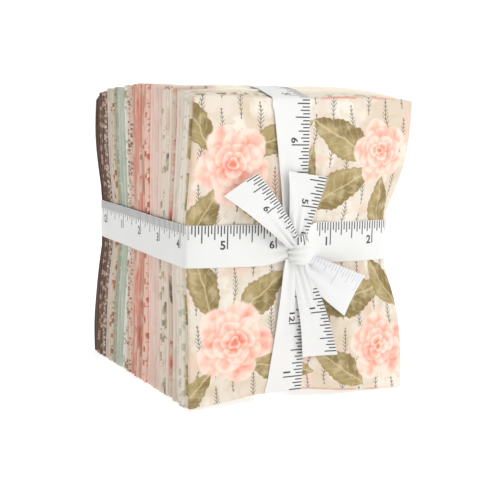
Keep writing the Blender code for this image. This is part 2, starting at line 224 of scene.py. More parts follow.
class Signal:
    """A number that flows through a material's nodes, written as arithmetic."""

    def __init__(self, tree: bpy.types.NodeTree, socket: bpy.types.NodeSocket) -> None:
        """Wrap a socket of this tree."""
        self.tree = tree
        self.socket = socket

    def through(self, operation: str, *others: "Signal | float", clamp: bool = False) -> "Signal":
        """Send this number through a Math node.

        Args:
            operation: the node's operation.
            others: its second and third values.
            clamp: whether the result stays between 0 and 1.

        Returns:
            The result.
        """
        node = self.tree.nodes.new("ShaderNodeMath")
        node.operation = operation
        node.use_clamp = clamp
        for slot, value in zip(node.inputs, (self, *others)):
            if isinstance(value, Signal):
                self.tree.links.new(value.socket, slot)
            else:
                slot.default_value = value
        return Signal(self.tree, node.outputs[0])

    def __add__(self, other: "Signal | float") -> "Signal":
        """The sum."""
        return self.through("ADD", other)

    def __sub__(self, other: "Signal | float") -> "Signal":
        """The difference."""
        return self.through("SUBTRACT", other)

    def __mul__(self, other: "Signal | float") -> "Signal":
        """The product."""
        return self.through("MULTIPLY", other)

    def __truediv__(self, other: "Signal | float") -> "Signal":
        """The quotient."""
        return self.through("DIVIDE", other)

    def size(self) -> "Signal":
        """Its absolute value."""
        return self.through("ABSOLUTE")

    def cosine(self) -> "Signal":
        """Its cosine."""
        return self.through("COSINE")

    def sine(self) -> "Signal":
        """Its sine."""
        return self.through("SINE")

    def part(self) -> "Signal":
        """Its fractional part."""
        return self.through("FRACT")

    def below(self, edge: "Signal | float", blur: float) -> "Signal":
        """1 where this is under the edge, 0 where it is over it, with a soft change of this width."""
        return ((self * -1 + edge) / blur).through("ADD", 0.5, clamp=True)


def distance(dx: Signal, dy: Signal) -> Signal:
    """How far the place dx, dy lies from the middle of its motif."""
    return (dx * dx + dy * dy).through("SQRT")


def add_bump(
    tree: bpy.types.NodeTree, shader: bpy.types.Node, relief: Signal, strength: float, depth: float
) -> None:
    """Let a fine relief catch the light.

    Args:
        tree: the material's nodes.
        shader: its shader.
        relief: the relief, from 0 to 1.
        strength: how strongly it shows.
        depth: how deep it is, in metres.
    """
    bump = tree.nodes.new("ShaderNodeBump")
    bump.inputs["Strength"].default_value = strength
    bump.inputs["Distance"].default_value = depth
    tree.links.new(relief.socket, bump.inputs["Height"])
    tree.links.new(bump.outputs[0], shader.inputs["Normal"])


class Paint:
    """A cloth's colour, built up in coats over its ground, with the tools that draw its motifs."""

    def __init__(self, tree: bpy.types.NodeTree, width: float, length: float, ground: Rgb) -> None:
        """Start with a cloth of one colour.

        Args:
            tree: the material's nodes.
            width: the cloth's flat width in millimetres, across the UV map.
            length: its flat length in millimetres, up the UV map.
            ground: its colour.
        """
        self.tree = tree
        uv = tree.nodes.new("ShaderNodeUVMap")
        parts = tree.nodes.new("ShaderNodeSeparateXYZ")
        tree.links.new(uv.outputs[0], parts.inputs[0])
        self.x = Signal(tree, parts.outputs[0]) * width
        self.y = Signal(tree, parts.outputs[1]) * length
        bare = tree.nodes.new("ShaderNodeRGB")
        bare.outputs[0].default_value = linear(ground)
        self.colour: bpy.types.NodeSocket = bare.outputs[0]

    def at(self, x: Signal, y: Signal) -> bpy.types.NodeSocket:
        """The vector x, y, 0.

        Args:
            x: its first number.
            y: its second.

        Returns:
            The vector's socket.
        """
        join = self.tree.nodes.new("ShaderNodeCombineXYZ")
        self.tree.links.new(x.socket, join.inputs[0])
        self.tree.links.new(y.socket, join.inputs[1])
        return join.outputs[0]

    def mottle(self, size: float, detail: float = 2.0, stretch: float = 1.0, seed: float = 0.0) -> Signal:
        """Cloudy noise from 0 to 1.

        Args:
            size: how large its clouds are, in millimetres.
            detail: how many finer octaves it has.
            stretch: how much longer the clouds are up the cloth than across it.
            seed: any number, which picks other clouds.

        Returns:
            The noise.
        """
        node = self.tree.nodes.new("ShaderNodeTexNoise")
        node.noise_dimensions = "2D"
        node.inputs["Scale"].default_value = 1 / size
        node.inputs["Detail"].default_value = detail
        where = self.at(self.x + seed * 37.0, self.y * (1 / stretch) + seed * 11.0)
        self.tree.links.new(where, node.inputs["Vector"])
        return Signal(self.tree, node.outputs["Fac"])

    def scatter(
        self, cell: float, even: float, seed: float, warp: float = 0.0
    ) -> tuple[Signal, Signal, Signal]:
        """Scattered points, one to a cell.

        Args:
            cell: their distance, in millimetres.
            even: 0 for points on a grid and 1 for points anywhere.
            seed: any number, which picks other points.
            warp: how far their surroundings are bent out of true, in millimetres.

        Returns:
            The place from the nearest point, x and y in millimetres, and a random number for that point.
        """
        node = self.tree.nodes.new("ShaderNodeTexVoronoi")
        node.voronoi_dimensions = "2D"
        node.inputs["Scale"].default_value = 1 / cell
        node.inputs["Randomness"].default_value = even
        x, y = self.x + seed * 53.0, self.y + seed * 29.0
        if warp:
            x = x + (self.mottle(cell * 0.5, 2.0, 1.0, seed + 3) - 0.5) * (4 * warp)
            y = y + (self.mottle(cell * 0.5, 2.0, 1.0, seed + 6) - 0.5) * (4 * warp)
        self.tree.links.new(self.at(x, y), node.inputs["Vector"])
        centre = self.tree.nodes.new("ShaderNodeSeparateXYZ")
        self.tree.links.new(node.outputs["Position"], centre.inputs[0])
        tint = self.tree.nodes.new("ShaderNodeSeparateColor")
        self.tree.links.new(node.outputs["Color"], tint.inputs[0])
        dx = x - Signal(self.tree, centre.outputs[0])
        dy = y - Signal(self.tree, centre.outputs[1])
        return dx, dy, Signal(self.tree, tint.outputs[0])

    def coat(self, colour: "Rgb | bpy.types.NodeSocket", mask: Signal) -> None:
        """Lay a colour over what is there, wherever the mask is 1."""
        self.colour = self.mixed(self.colour, colour, mask)

    def mixed(
        self, low: "Rgb | bpy.types.NodeSocket", high: "Rgb | bpy.types.NodeSocket", share: Signal
    ) -> bpy.types.NodeSocket:
        """The colour this share of the way from low to high."""
        return mix_colours(self.tree, low, high, share.socket)

    def turned(self, dx: Signal, dy: Signal, angle: float) -> tuple[Signal, Signal]:
        """A place turned back by an angle in degrees, so that a motif drawn there is turned by it."""
        c, s = math.cos(math.radians(angle)), math.sin(math.radians(angle))
        return dx * c + dy * s, dy * c - dx * s

    def leaf(self, dx: Signal, dy: Signal, length: float, width: float, tones: "LeafTones") -> None:
        """Paint one pointed leaf that lies along x, with its midrib, side veins and darker lower half.

        Args:
            dx: the place along the leaf from its middle, in millimetres.
            dy: the place across it.
            length: from stalk to tip.
            width: at its widest.
            tones: its colours.
        """
        along = dx * (2 / length)
        swell = ((along * along) * -1 + 1.0).through("MAXIMUM", 0.0)
        lean = (along * -0.28) + 1.0
        teeth = ((dx * (2 * math.pi / 3.1)).sine() * 0.035) + 1.0
        half = swell * lean * teeth * (width / 2) - 0.3
        across = dy.size()
        mask = across.below(half, 0.5)
        wash = (self.mottle(6, 3.0, 1.0, 17) - 0.5) * 2.4
        side = (dy * (1 / (0.35 * width)) + wash).through("ADD", 0.5, clamp=True)
        tone = self.mixed(tones.dark, tones.light, side)
        streak = self.mottle(6, 3.0, 1.0, 23).below(0.42, 0.22)
        tone = self.mixed(tone, tones.vein, streak * 0.5)
        sway = self.mottle(11, 2.0, 1.0, 19) * 5.0
        vein = (((dx - across * 1.1 + sway) / 4.9).part()).below(0.13, 0.12)
        tone = self.mixed(tone, tones.vein, vein * 0.3)
        rib = across.below(0.42, 0.35)
        tone = self.mixed(tone, tones.vein, rib * 0.6)
        edge = across.below(half * 0.86, 1.2)
        tone = self.mixed(tones.dark, tone, (edge * 0.5) + 0.5)
        self.coat(tone, mask)

    def blossom(
        self, dx: Signal, dy: Signal, radius: "float | Signal", turn: "float | Signal", tones: "PetalTones",
        rings: Sequence["PetalRing"],
    ) -> None:
        """Paint one open blossom: rings of petals, each laid over the last, pale at its rim.

        Args:
            dx: the place across from the blossom's middle, in millimetres.
            dy: the place up from it.
            radius: out to its longest petals.
            turn: how far it is turned, in radians.
            tones: its colours.
            rings: its rings of petals, from the outermost in.
        """
        reach = distance(dx, dy) / radius
        angle = dy.through("ARCTAN2", dx) + turn
        wash = (self.mottle(8, 2.0, 1.0, 13) - 0.5) * 0.9
        for ring in rings:
            lobe = ((angle * (ring.petals / 2) + ring.phase).cosine()).size().through("POWER", 0.55)
            edge = (lobe * (ring.size * ring.scallop)) + ring.size * (1 - ring.scallop)
            share = reach / edge
            streak = (angle * (ring.petals * 3.0)).sine() * 0.05 + wash
            depth = ((share + streak) * 1.7).through("SUBTRACT", 0.7, clamp=True)
            tone = self.mixed(tones.heart, tones.rim, depth)
            fold = lobe.below(0.42, 0.35)
            tone = self.mixed(tone, tones.shade, fold * 0.55)
            self.coat(tone, share.below(1.0, 0.07))


@dataclass(frozen=True)
class PetalRing:
    """One ring of a blossom's petals.

    size is how far out they reach, as a share of the blossom, phase turns them, in radians, and scallop is
    how deep the cuts between them are.
    """

    size: float
    petals: int
    phase: float
    scallop: float


@dataclass(frozen=True)
class PetalTones:
    """A blossom's colours: its depths, its petals' rims and the shade between petals."""

    heart: Rgb
    rim: Rgb
    shade: Rgb


@dataclass(frozen=True)
class LeafTones:
    """A leaf's colours."""

    dark: Rgb
    light: Rgb
    vein: Rgb


FULL_BLOSSOM = (
    PetalRing(1.0, 5, 0.0, 0.30),
    PetalRing(0.76, 5, 1.3, 0.26),
    PetalRing(0.54, 4, 0.5, 0.24),
    PetalRing(0.34, 3, 1.9, 0.26),
    PetalRing(0.16, 3, 0.2, 0.30),
)
SMALL_BLOSSOM = (PetalRing(1.0, 5, 0.0, 0.38), PetalRing(0.45, 5, 0.8, 0.30))


class Print(Enum):
    """The kinds of printed design on the quarters."""

    TONAL = "tonal"
    SPECKLE = "speckle"
    CLOUD = "cloud"
    DITSY = "ditsy"
    GARDEN = "garden"
    BOUQUET = "bouquet"


@dataclass(frozen=True)
class Motif:
    """A blossom or leaf of the front cloth, placed on its front panel, in millimetres from its corner.

    length is a leaf's length or a blossom's radius. turn is in degrees for a leaf and in radians for a
    blossom.
    """

    x: float
    y: float
    length: float
    turn: float
    width: float = 0.0


BOUQUET_BLOSSOMS = (
    Motif(21, 109, 19, 0.4),
    Motif(98, 115, 15, 1.9),
    Motif(23, 28, 20, 2.6),
    Motif(101, 21, 17, 0.9),
)
BOUQUET_LEAVES = (
    Motif(44, 122, 36, 24, 15),
    Motif(8, 86, 34, 62, 15),
    Motif(37, 89, 32, -34, 14),
    Motif(2, 128, 30, 118, 13),
    Motif(76, 121, 38, 152, 17),
    Motif(78, 98, 38, 28, 17),
    Motif(104, 88, 32, 104, 14),
    Motif(58, 104, 30, 80, 12),
    Motif(8, 56, 34, 104, 15),
    Motif(38, 50, 33, 38, 15),
    Motif(48, 12, 36, -12, 16),
    Motif(66, 34, 34, 66, 14),
    Motif(87, 46, 40, 14, 18),
    Motif(107, 52, 30, 122, 14),
    Motif(78, 12, 36, 148, 15),
    Motif(2, 6, 28, 44, 12),
)


@dataclass(frozen=True)
class Touch:
    """A touch of colour where a motif crosses a fold, in millimetres on the flat cloth.

    worn is how much of it shows, from 0 to 1.
    """

    colour: Rgb
    x: float
    y: float
    width: float
    height: float
    worn: float = 0.6

    def lay(self, paint: Paint) -> None:
        """Paint the touch, unevenly.

        Args:
            paint: the cloth.
        """
        along = (paint.x - self.x).size().below(self.width / 2, 3)
        line = (paint.y - self.y).size().below(self.height / 2, 0.6)
        paint.coat(self.colour, along * line * paint.mottle(7, 2.0, 1.0, 41).below(self.worn, 0.1))


@dataclass(frozen=True)
class ClothFinish:
    """Printed quilting cotton: a plain weave with a design in matt colours.

    ground and second are the cloth's two tones, and accent, green and dark are for its flowers, its leaves
    and its fine marks. seed picks where they fall, and scale is how large they are. touches are single
    touches of colour, and rim is a painted highlight: the paler colour painted on the top folds where the
    light falls on them.
    """

    design: Print
    ground: Rgb
    second: Rgb
    accent: Rgb = (214, 120, 100)
    green: Rgb = (150, 146, 104)
    dark: Rgb = (92, 78, 68)
    seed: float = 0.0
    scale: float = 1.0
    touches: tuple[Touch, ...] = ()
    # rim: painted highlight, the paler colour painted on the top folds
    rim: Rgb | None = None

    def material(self, name: str) -> bpy.types.Material:
        """The finish as a material.

        Args:
            name: the material's name.

        Returns:
            The new material.
        """
        material, tree, shader = new_material(name, 0.88, 0.25, 0.15)
        paint = Paint(tree, FLAT_WIDTH / MM, FLAT_LENGTH / MM, self.ground)
        painters = {
            Print.TONAL: self.paint_tonal,
            Print.SPECKLE: self.paint_speckle,
            Print.CLOUD: self.paint_cloud,
            Print.DITSY: self.paint_ditsy,
            Print.GARDEN: self.paint_garden,
            Print.BOUQUET: self.paint_bouquet,
        }
        painters[self.design](paint)
        # the top folds get their painted highlight
        if self.rim:
            self.paint_rim(paint)
        for touch in self.touches:
            touch.lay(paint)
        thread = self.weave(paint)
        # painted shade: the ground's darker tone laid where the weave dips between its threads
        paint.coat(darker(self.ground, 0.72), (thread * -0.10) + 0.10)
        tree.links.new(paint.colour, shader.inputs["Base Color"])
        slub = paint.mottle(2.2, 3.0, 1.0, self.seed + 4)
        add_bump(tree, shader, thread + slub * 0.8, 0.35, 0.12 * MM)
        return material

    def weave(self, paint: Paint) -> Signal:
        """Over and under of the threads.

        Args:
            paint: the cloth.

        Returns:
            The weave's relief, from 0 to 1.
        """
        pitch = 0.42
        warp = (paint.x * (2 * math.pi / pitch)).sine()
        weft = (paint.y * (2 * math.pi / pitch)).sine()
        return (warp * weft * 0.5) + 0.5

    def paint_rim(self, paint: Paint) -> None:
        """Painted highlight: the top folds painted paler, fading out towards the folds at the left.

        Args:
            paint: the cloth.
        """
        turn = FLAT_WIDTH / MM / 2
        top_fold = FLAT_LENGTH / MM * 0.75
        off_left = ((paint.x / turn).part() - 0.5).size() * turn
        near_top = (paint.y - top_fold).size().below(4.5, 2)
        # painted highlight on the top folds, thinned out near the left folds
        paint.coat(self.rim, near_top * (off_left.below(17, 8) * -1 + 1))

    def paint_tonal(self, paint: Paint) -> None:
        """A tone-on-tone print of soft curls."""
        paint.coat(self.second, paint.mottle(9, 3.0, 2.0, self.seed).below(0.48, 0.06) * 0.75)
        paint.coat(self.ground, paint.mottle(4, 2.0, 1.0, self.seed + 2).below(0.42, 0.05) * 0.6)

    def paint_speckle(self, paint: Paint) -> None:
        """A dense print of fine dots in two colours.

        Args:
            paint: the cloth.
        """
        dx, dy, chance = paint.scatter(1.7 * self.scale, 0.9, self.seed, 0.25)
        dots = distance(dx, dy).below(0.6 * self.scale, 0.3) * chance.below(0.8, 0.02)
        paint.coat(paint.mixed(self.accent, self.dark, chance.below(0.35, 0.02)), dots * 0.85)
        paint.coat(self.second, paint.mottle(12, 2.0, 1.0, self.seed).below(0.42, 0.10) * 0.5)

    def paint_cloud(self, paint: Paint) -> None:
        """Loose washes of two colours that run into each other, with darker touches.

        Args:
            paint: the cloth.
        """
        paint.coat(self.second, paint.mottle(13, 3.0, 1.8, self.seed).below(0.52, 0.07) * 0.9)
        paint.coat(self.accent, paint.mottle(8, 3.0, 2.0, self.seed + 2).below(0.36, 0.05) * 0.7)
        paint.coat(self.green, paint.mottle(7, 3.0, 2.0, self.seed + 5).below(0.29, 0.04) * 0.7)

    def paint_ditsy(self, paint: Paint) -> None:
        """Small scattered flowers, each with a leaf, on a softly mottled ground.

        Args:
            paint: the cloth.
        """
        size = self.scale
        paint.coat(self.second, paint.mottle(14, 3.0, 1.6, self.seed) * 0.7)
        dx, dy, chance = paint.scatter(7.5 * size, 0.85, self.seed + 3, 0.5 * size)
        ldx, ldy = paint.turned(dx - 2.0 * size, dy + 1.2 * size, 55)
        tones = LeafTones(self.green, self.green, self.ground)
        paint.leaf(ldx, ldy, 4.6 * size, 2.2 * size, tones)
        bloom = PetalTones(self.dark, self.accent, self.accent)
        paint.blossom(dx, dy, 1.9 * size, chance * 6.0, bloom, SMALL_BLOSSOM)
        dx, dy, chance = paint.scatter(3.4 * size, 1.0, self.seed + 7, 0.5 * size)
        paint.coat(self.dark, distance(dx, dy).below(0.55 * size, 0.3) * chance.below(0.55, 0.02) * 0.7)

    def paint_garden(self, paint: Paint) -> None:
        """Large loose flowers and leaves, so that a folded edge crosses now one and now the other.

        Args:
            paint: the cloth.
        """
        paint.coat(self.second, paint.mottle(20, 3.0, 1.5, self.seed) * 0.9)
        for cell, turn, seed in ((31, 68, 1), (26, 112, 5)):
            dx, dy, _ = paint.scatter(cell, 0.7, self.seed + seed, 0.7)
            ldx, ldy = paint.turned(dx, dy, turn)
            tones = LeafTones(self.dark, self.green, self.second)
            paint.leaf(ldx, ldy, cell * 0.85, cell * 0.24, tones)
        dx, dy, chance = paint.scatter(36, 0.8, self.seed + 9, 0.7)
        bloom = PetalTones(self.accent, self.ground, self.accent)
        paint.blossom(dx, dy, 12.5, chance * 6.0, bloom, FULL_BLOSSOM[:3])
        dx, dy, chance = paint.scatter(5.0, 1.0, self.seed + 7, 0.7)
        paint.coat(self.dark, distance(dx, dy).below(0.5, 0.3) * chance.below(0.4, 0.02) * 0.6)

    def paint_bouquet(self, paint: Paint) -> None:
        """The front cloth: open blossoms and leaves over a clouded ground, with thin dark sprigs.

        Args:
            paint: the cloth.
        """
        panel_x = (paint.x * -1) + FLAT_WIDTH / MM / 4
        panel_y = paint.y - FLAT_LENGTH / MM / 2
        wobble_x = (paint.mottle(9, 2.0, 1.0, 21) - 0.5) * 3.2
        wobble_y = (paint.mottle(9, 2.0, 1.0, 27) - 0.5) * 3.2
        repeat_x, repeat_y = FLAT_WIDTH / MM / 3, FLAT_LENGTH / MM / 3
        left, below = 19.0, 23.0
        x = (panel_x + wobble_x).through("WRAP", repeat_x - left, -left)
        y = (panel_y + wobble_y).through("WRAP", repeat_y - below, -below)
        paint.coat(self.second, paint.mottle(24, 3.0, 1.6, self.seed + 1).below(0.50, 0.14) * 0.9)
        paint.coat((242, 234, 221), paint.mottle(17, 3.0, 1.3, self.seed + 5).below(0.42, 0.12) * 0.85)
        paint.coat((236, 203, 184), paint.mottle(19, 3.0, 0.7, self.seed + 8).below(0.39, 0.12) * 0.7)
        paint.coat((214, 194, 160), paint.mottle(5, 3.0, 1.0, self.seed + 11).below(0.40, 0.10) * 0.35)
        self.paint_sprigs(paint, panel_x, panel_y)
        leaf_tones = LeafTones((138, 118, 70), (172, 152, 102), (216, 200, 160))
        petals = PetalTones((238, 132, 106), (253, 226, 210), (243, 160, 136))
        for leaf in BOUQUET_LEAVES:
            dx, dy = paint.turned(x - leaf.x, y - leaf.y, leaf.turn)
            paint.leaf(dx, dy, leaf.length, leaf.width, leaf_tones)
        for bloom in BOUQUET_BLOSSOMS:
            paint.blossom(x - bloom.x, y - bloom.y, bloom.length, bloom.turn, petals, FULL_BLOSSOM)

    def paint_sprigs(self, paint: Paint, x: Signal, y: Signal) -> None:
        """Rows of thin dark sprigs: a fine stem with short slanting leaflets on both sides.

        Args:
            paint: the cloth.
            x: the place across the front panel, in millimetres.
            y: the place up it.
        """
        row, rise = 9.5, 21.0
        sway = (y * (2 * math.pi / 33)).sine() * 0.8 + (paint.mottle(14, 2.0, 1.0, 31) - 0.5) * 3.0
        lane = (x + sway) / row
        index = lane.through("FLOOR")
        off = (lane.part() - 0.5) * row
        step = (y + index * 8.7) / rise
        share = step.part()
        taper = ((share - 0.42).size() * -3.4) + 1.7
        side = off.size()
        stem = side.below(0.20, 0.16)
        slant = ((y - side * 1.3) / 1.9).part().below(0.30, 0.2)
        leaflets = slant * side.below(taper, 0.3)
        drawn = (stem + leaflets).through("MINIMUM", 1.0) * share.below(0.80, 0.02)
        paint.coat(self.dark, drawn * 0.8)


@dataclass(frozen=True)
class TapeFinish:
    """Woven measuring tape: a close, slightly shiny weave. length is that of the tape it covers."""

    colour: Rgb
    length: float
    roughness: float = 0.5

    def material(self, name: str) -> bpy.types.Material:
        """The finish as a material.

        Args:
            name: the material's name.

        Returns:
            The new material.
        """
        material, tree, shader = new_material(name, self.roughness, 0.35, 0.1)
        width = TAPE_WIDTH / MM
        paint = Paint(tree, self.length / MM, width, self.colour)
        rib = ((paint.x + paint.y * 0.5) * (2 * math.pi / 0.55)).sine()
        selvedge = (paint.y - width / 2).size().below(width / 2 - 0.8, 0.2)
        paint.coat(darker(self.colour, 0.86), ((rib * 0.5) + 0.5) * 0.16)
        paint.coat(darker(self.colour, 0.93), paint.mottle(14, 2.0, 1.0, 3) * 0.35)
        tree.links.new(paint.colour, shader.inputs["Base Color"])
        add_bump(tree, shader, rib * 0.5 + selvedge * 0.7, 0.25, 0.1 * MM)
        return material


def print_material(name: str, colour: Rgb) -> bpy.types.Material:
    """The ink of the tape's marks, a little worn.

    Args:
        name: the material's name.
        colour: the ink.

    Returns:
        The new material.
    """
    material, tree, shader = new_material(name, 0.6)
    where = tree.nodes.new("ShaderNodeTexCoord")
    wear = tree.nodes.new("ShaderNodeTexNoise")
    wear.inputs["Scale"].default_value = 900
    tree.links.new(where.outputs["Object"], wear.inputs["Vector"])
    faded = tuple(min(255, channel + 34) for channel in colour)
    worn = mix_colours(tree, colour, faded, wear.outputs["Fac"])
    tree.links.new(worn, shader.inputs["Base Color"])
    return material


# The stack


@dataclass(frozen=True)
class Stack:
    """The stack's shape: how deep it is, how its top is domed, and how the tape draws it in.

    shift is where its middle stands in the frame. The waist is where the level band lies, and its pinches
    are how far it draws the sides in there. The grooves are how far the standing band draws the lower folds
    up, the crown dip is how far it presses the upper ones down, and the plateau is how far these stand over
    the lowest quarter's. The back drop is how much lower they stand from the sixth quarter on, and the
    shoulder is how far the back's top edge is rounded off. upright_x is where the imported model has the
    middle of its standing band, and band_x is where it is laid here.
    """

    shift: Vector
    fold_width: float = FLAT_WIDTH / 4
    fold_height: float = FLAT_LENGTH / 4
    depth: float = 132 * MM
    dome_rise: float = 4.6 * MM
    dome_power: float = 0.8
    waist_z: float = 72.6 * MM
    waist_flat: float = 11 * MM
    waist_reach: float = 22 * MM
    waist_power: float = 1.4
    waist_depth_share: float = 0.085
    waist_corner_share: float = 0.055
    right_pinch: float = 8 * MM
    left_pinch: float = 1.5 * MM
    upright_x: float = -8.7 * MM
    band_x: float = -10.0 * MM
    groove_ends: float = 4.7 * MM
    groove_middle: float = 1.5 * MM
    crown_dip: float = 1.4 * MM
    plateau: float = 5.0 * MM
    back_drop: float = 1.7 * MM
    shoulder: float = 4.4 * MM
    shoulder_reach: float = 4.2 * MM
    shoulder_inward: float = 2.0 * MM

    @classmethod
    def from_frame(cls) -> "Stack":
        """The stack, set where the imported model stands.

        Returns:
            The stack.
        """
        first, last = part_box("quarter_01_cream_floral"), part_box("quarter_21_dark_brown")
        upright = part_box("tape_upright")
        x = upright[0].x - (cls.upright_x - TAPE_WIDTH / 2)
        y = (first[0].y + last[1].y) / 2
        return cls(Vector((x, y, 0)))

    def pull(self, z: float) -> float:
        """How much of the waist's full pinch reaches this height, from 0 to 1."""
        beyond = max(abs(z - self.waist_z) - self.waist_flat, 0)
        return math.exp(-((beyond / self.waist_reach) ** self.waist_power))

    def top_of(self, middle_y: float) -> float:
        """The height of a quarter whose middle is at this depth."""
        along = min(max(middle_y / self.depth + 0.5, 0), 1)
        return self.fold_height + self.dome_rise * math.sin(math.pi * along) ** self.dome_power

    def puff(self, x: float, y: float) -> float:
        """How much higher the folds stand between their corners than at them.

        Args:
            x: across, from the stack's middle.
            y: in depth, from its middle.

        Returns:
            The rise over top_of, in metres.
        """
        along = math.sin(math.pi * min(max(y / self.depth + 0.5, 0), 1))
        level = self.plateau * (1 - (1 - along) ** 4) - self.back_drop * smooth(y, -0.031, -0.018)
        between = smooth(x, -0.054, -0.028) * (1 - smooth(x, 0.022, 0.057) ** 1.5)
        return (level - self.dome_rise * along**self.dome_power) * between

    def drawn_up(self, x: float, y: float) -> float:
        """How far the standing band draws the lower folds up.

        Args:
            x: across, from the stack's middle.
            y: in depth, from its middle.

        Returns:
            The rise, in metres.
        """
        off = max(abs(x - self.band_x) - TAPE_WIDTH / 2, 0)
        front = 1 - smooth(y, -self.depth / 2 + 2 * MM, -self.depth / 2 + 9 * MM)
        reach = 22 * MM if x > self.band_x else (14 + 14 * front) * MM
        ends = (abs(y) / (self.depth / 2)) ** 4
        depth = self.groove_middle + (self.groove_ends - self.groove_middle) * min(ends, 1)
        return depth * math.exp(-((off / reach) ** 1.4))

    def wander(self, x: float, y: float, z: float) -> Vector:
        """Small bends that run through neighbouring folds together, less where the tape binds them.

        Args:
            x: across, from the stack's middle.
            y: in depth, from its middle.
            z: above the floor.

        Returns:
            How far the point moves, with the front cloth's creases near the waist.
        """
        loose = 1 - 0.85 * self.pull(z)
        across = noise.noise(Vector((x / 0.055, y / 0.018, z / 0.04)))
        deep = noise.noise(Vector((x / 0.05 + 9, y / 0.03, z / 0.032)))
        near_fold = smooth(-x, 0.03, 0.055)
        inward = (0.5 + 0.5 * noise.noise(Vector((y / 0.0035, z / 0.03, 4.0)))) * near_fold
        shift_x = 0.6 * MM * across * loose + 1.2 * MM * inward * (0.35 + 0.65 * loose)
        far = (abs(z - self.waist_z) - self.waist_flat) / (26 * MM)
        crease = noise.noise(Vector((x / 0.010 + z / 0.05, z / 0.06, 7.0))) * math.exp(-far * far)
        crease *= math.exp(-max(y + self.depth / 2, 0) / 0.015)
        return Vector((shift_x, 0.7 * MM * deep * loose + 0.9 * MM * crease, 0))

    def place(self, x: float, y: float, z: float) -> Vector:
        """Where a point of the straight stack goes in the tied one.

        Args:
            x: across, from the stack's middle.
            y: in depth, from its middle.
            z: above the floor.

        Returns:
            The point in the frame.
        """
        wide = math.exp(-(((x - self.band_x) / 0.02) ** 2))
        top = self.fold_height
        z *= 1 + self.puff(x, y) / top
        z += self.drawn_up(x, y) * (1 - smooth(z, 0, 0.045))
        z -= self.crown_dip * wide * smooth(z, top - 0.03, top)
        bend = self.wander(x, y, z)
        x, y = x + bend.x, y + bend.y
        pull = self.pull(z)
        side = x / (self.fold_width / 2)
        pinch = self.right_pinch if side > 0 else self.left_pinch
        drawn = self.waist_depth_share + self.waist_corner_share * side**4
        narrowed = x - math.copysign(pull * pinch * abs(side) ** 3, side)
        return Vector((narrowed, y * (1 - pull * drawn), z)) + self.shift


@dataclass(frozen=True)
class Point:
    """A place on a folded section: how far along the flat cloth, where it lies, and which way it faces."""

    flat: float
    place: Vector
    normal: Vector


def arc(
    centre: Vector, radius: float, start: float, stop: float, steps: int
) -> Iterator[tuple[Vector, Vector]]:
    """Points inside an arc, leaving out both ends.

    Args:
        centre: its middle.
        radius: its radius.
        start: where it starts, in degrees.
        stop: where it stops.
        steps: how many steps it has.

    Yields:
        Each point and the outward normal there.
    """
    for i in range(1, steps):
        angle = math.radians(start + (stop - start) * i / steps)
        normal = Vector((math.cos(angle), math.sin(angle)))
        yield centre + radius * normal, normal


def measured(path: Sequence[tuple[Vector, Vector]]) -> list[Point]:
    """Measure a path.

    Args:
        path: its places and normals.

    Returns:
        The same points, with the distance along the path at each.
    """
    found = []
    flat = 0.0
    for i, (place, normal) in enumerate(path):
        flat += (place - path[i - 1][0]).length if i else 0.0
        found.append(Point(flat, place, normal))
    return found


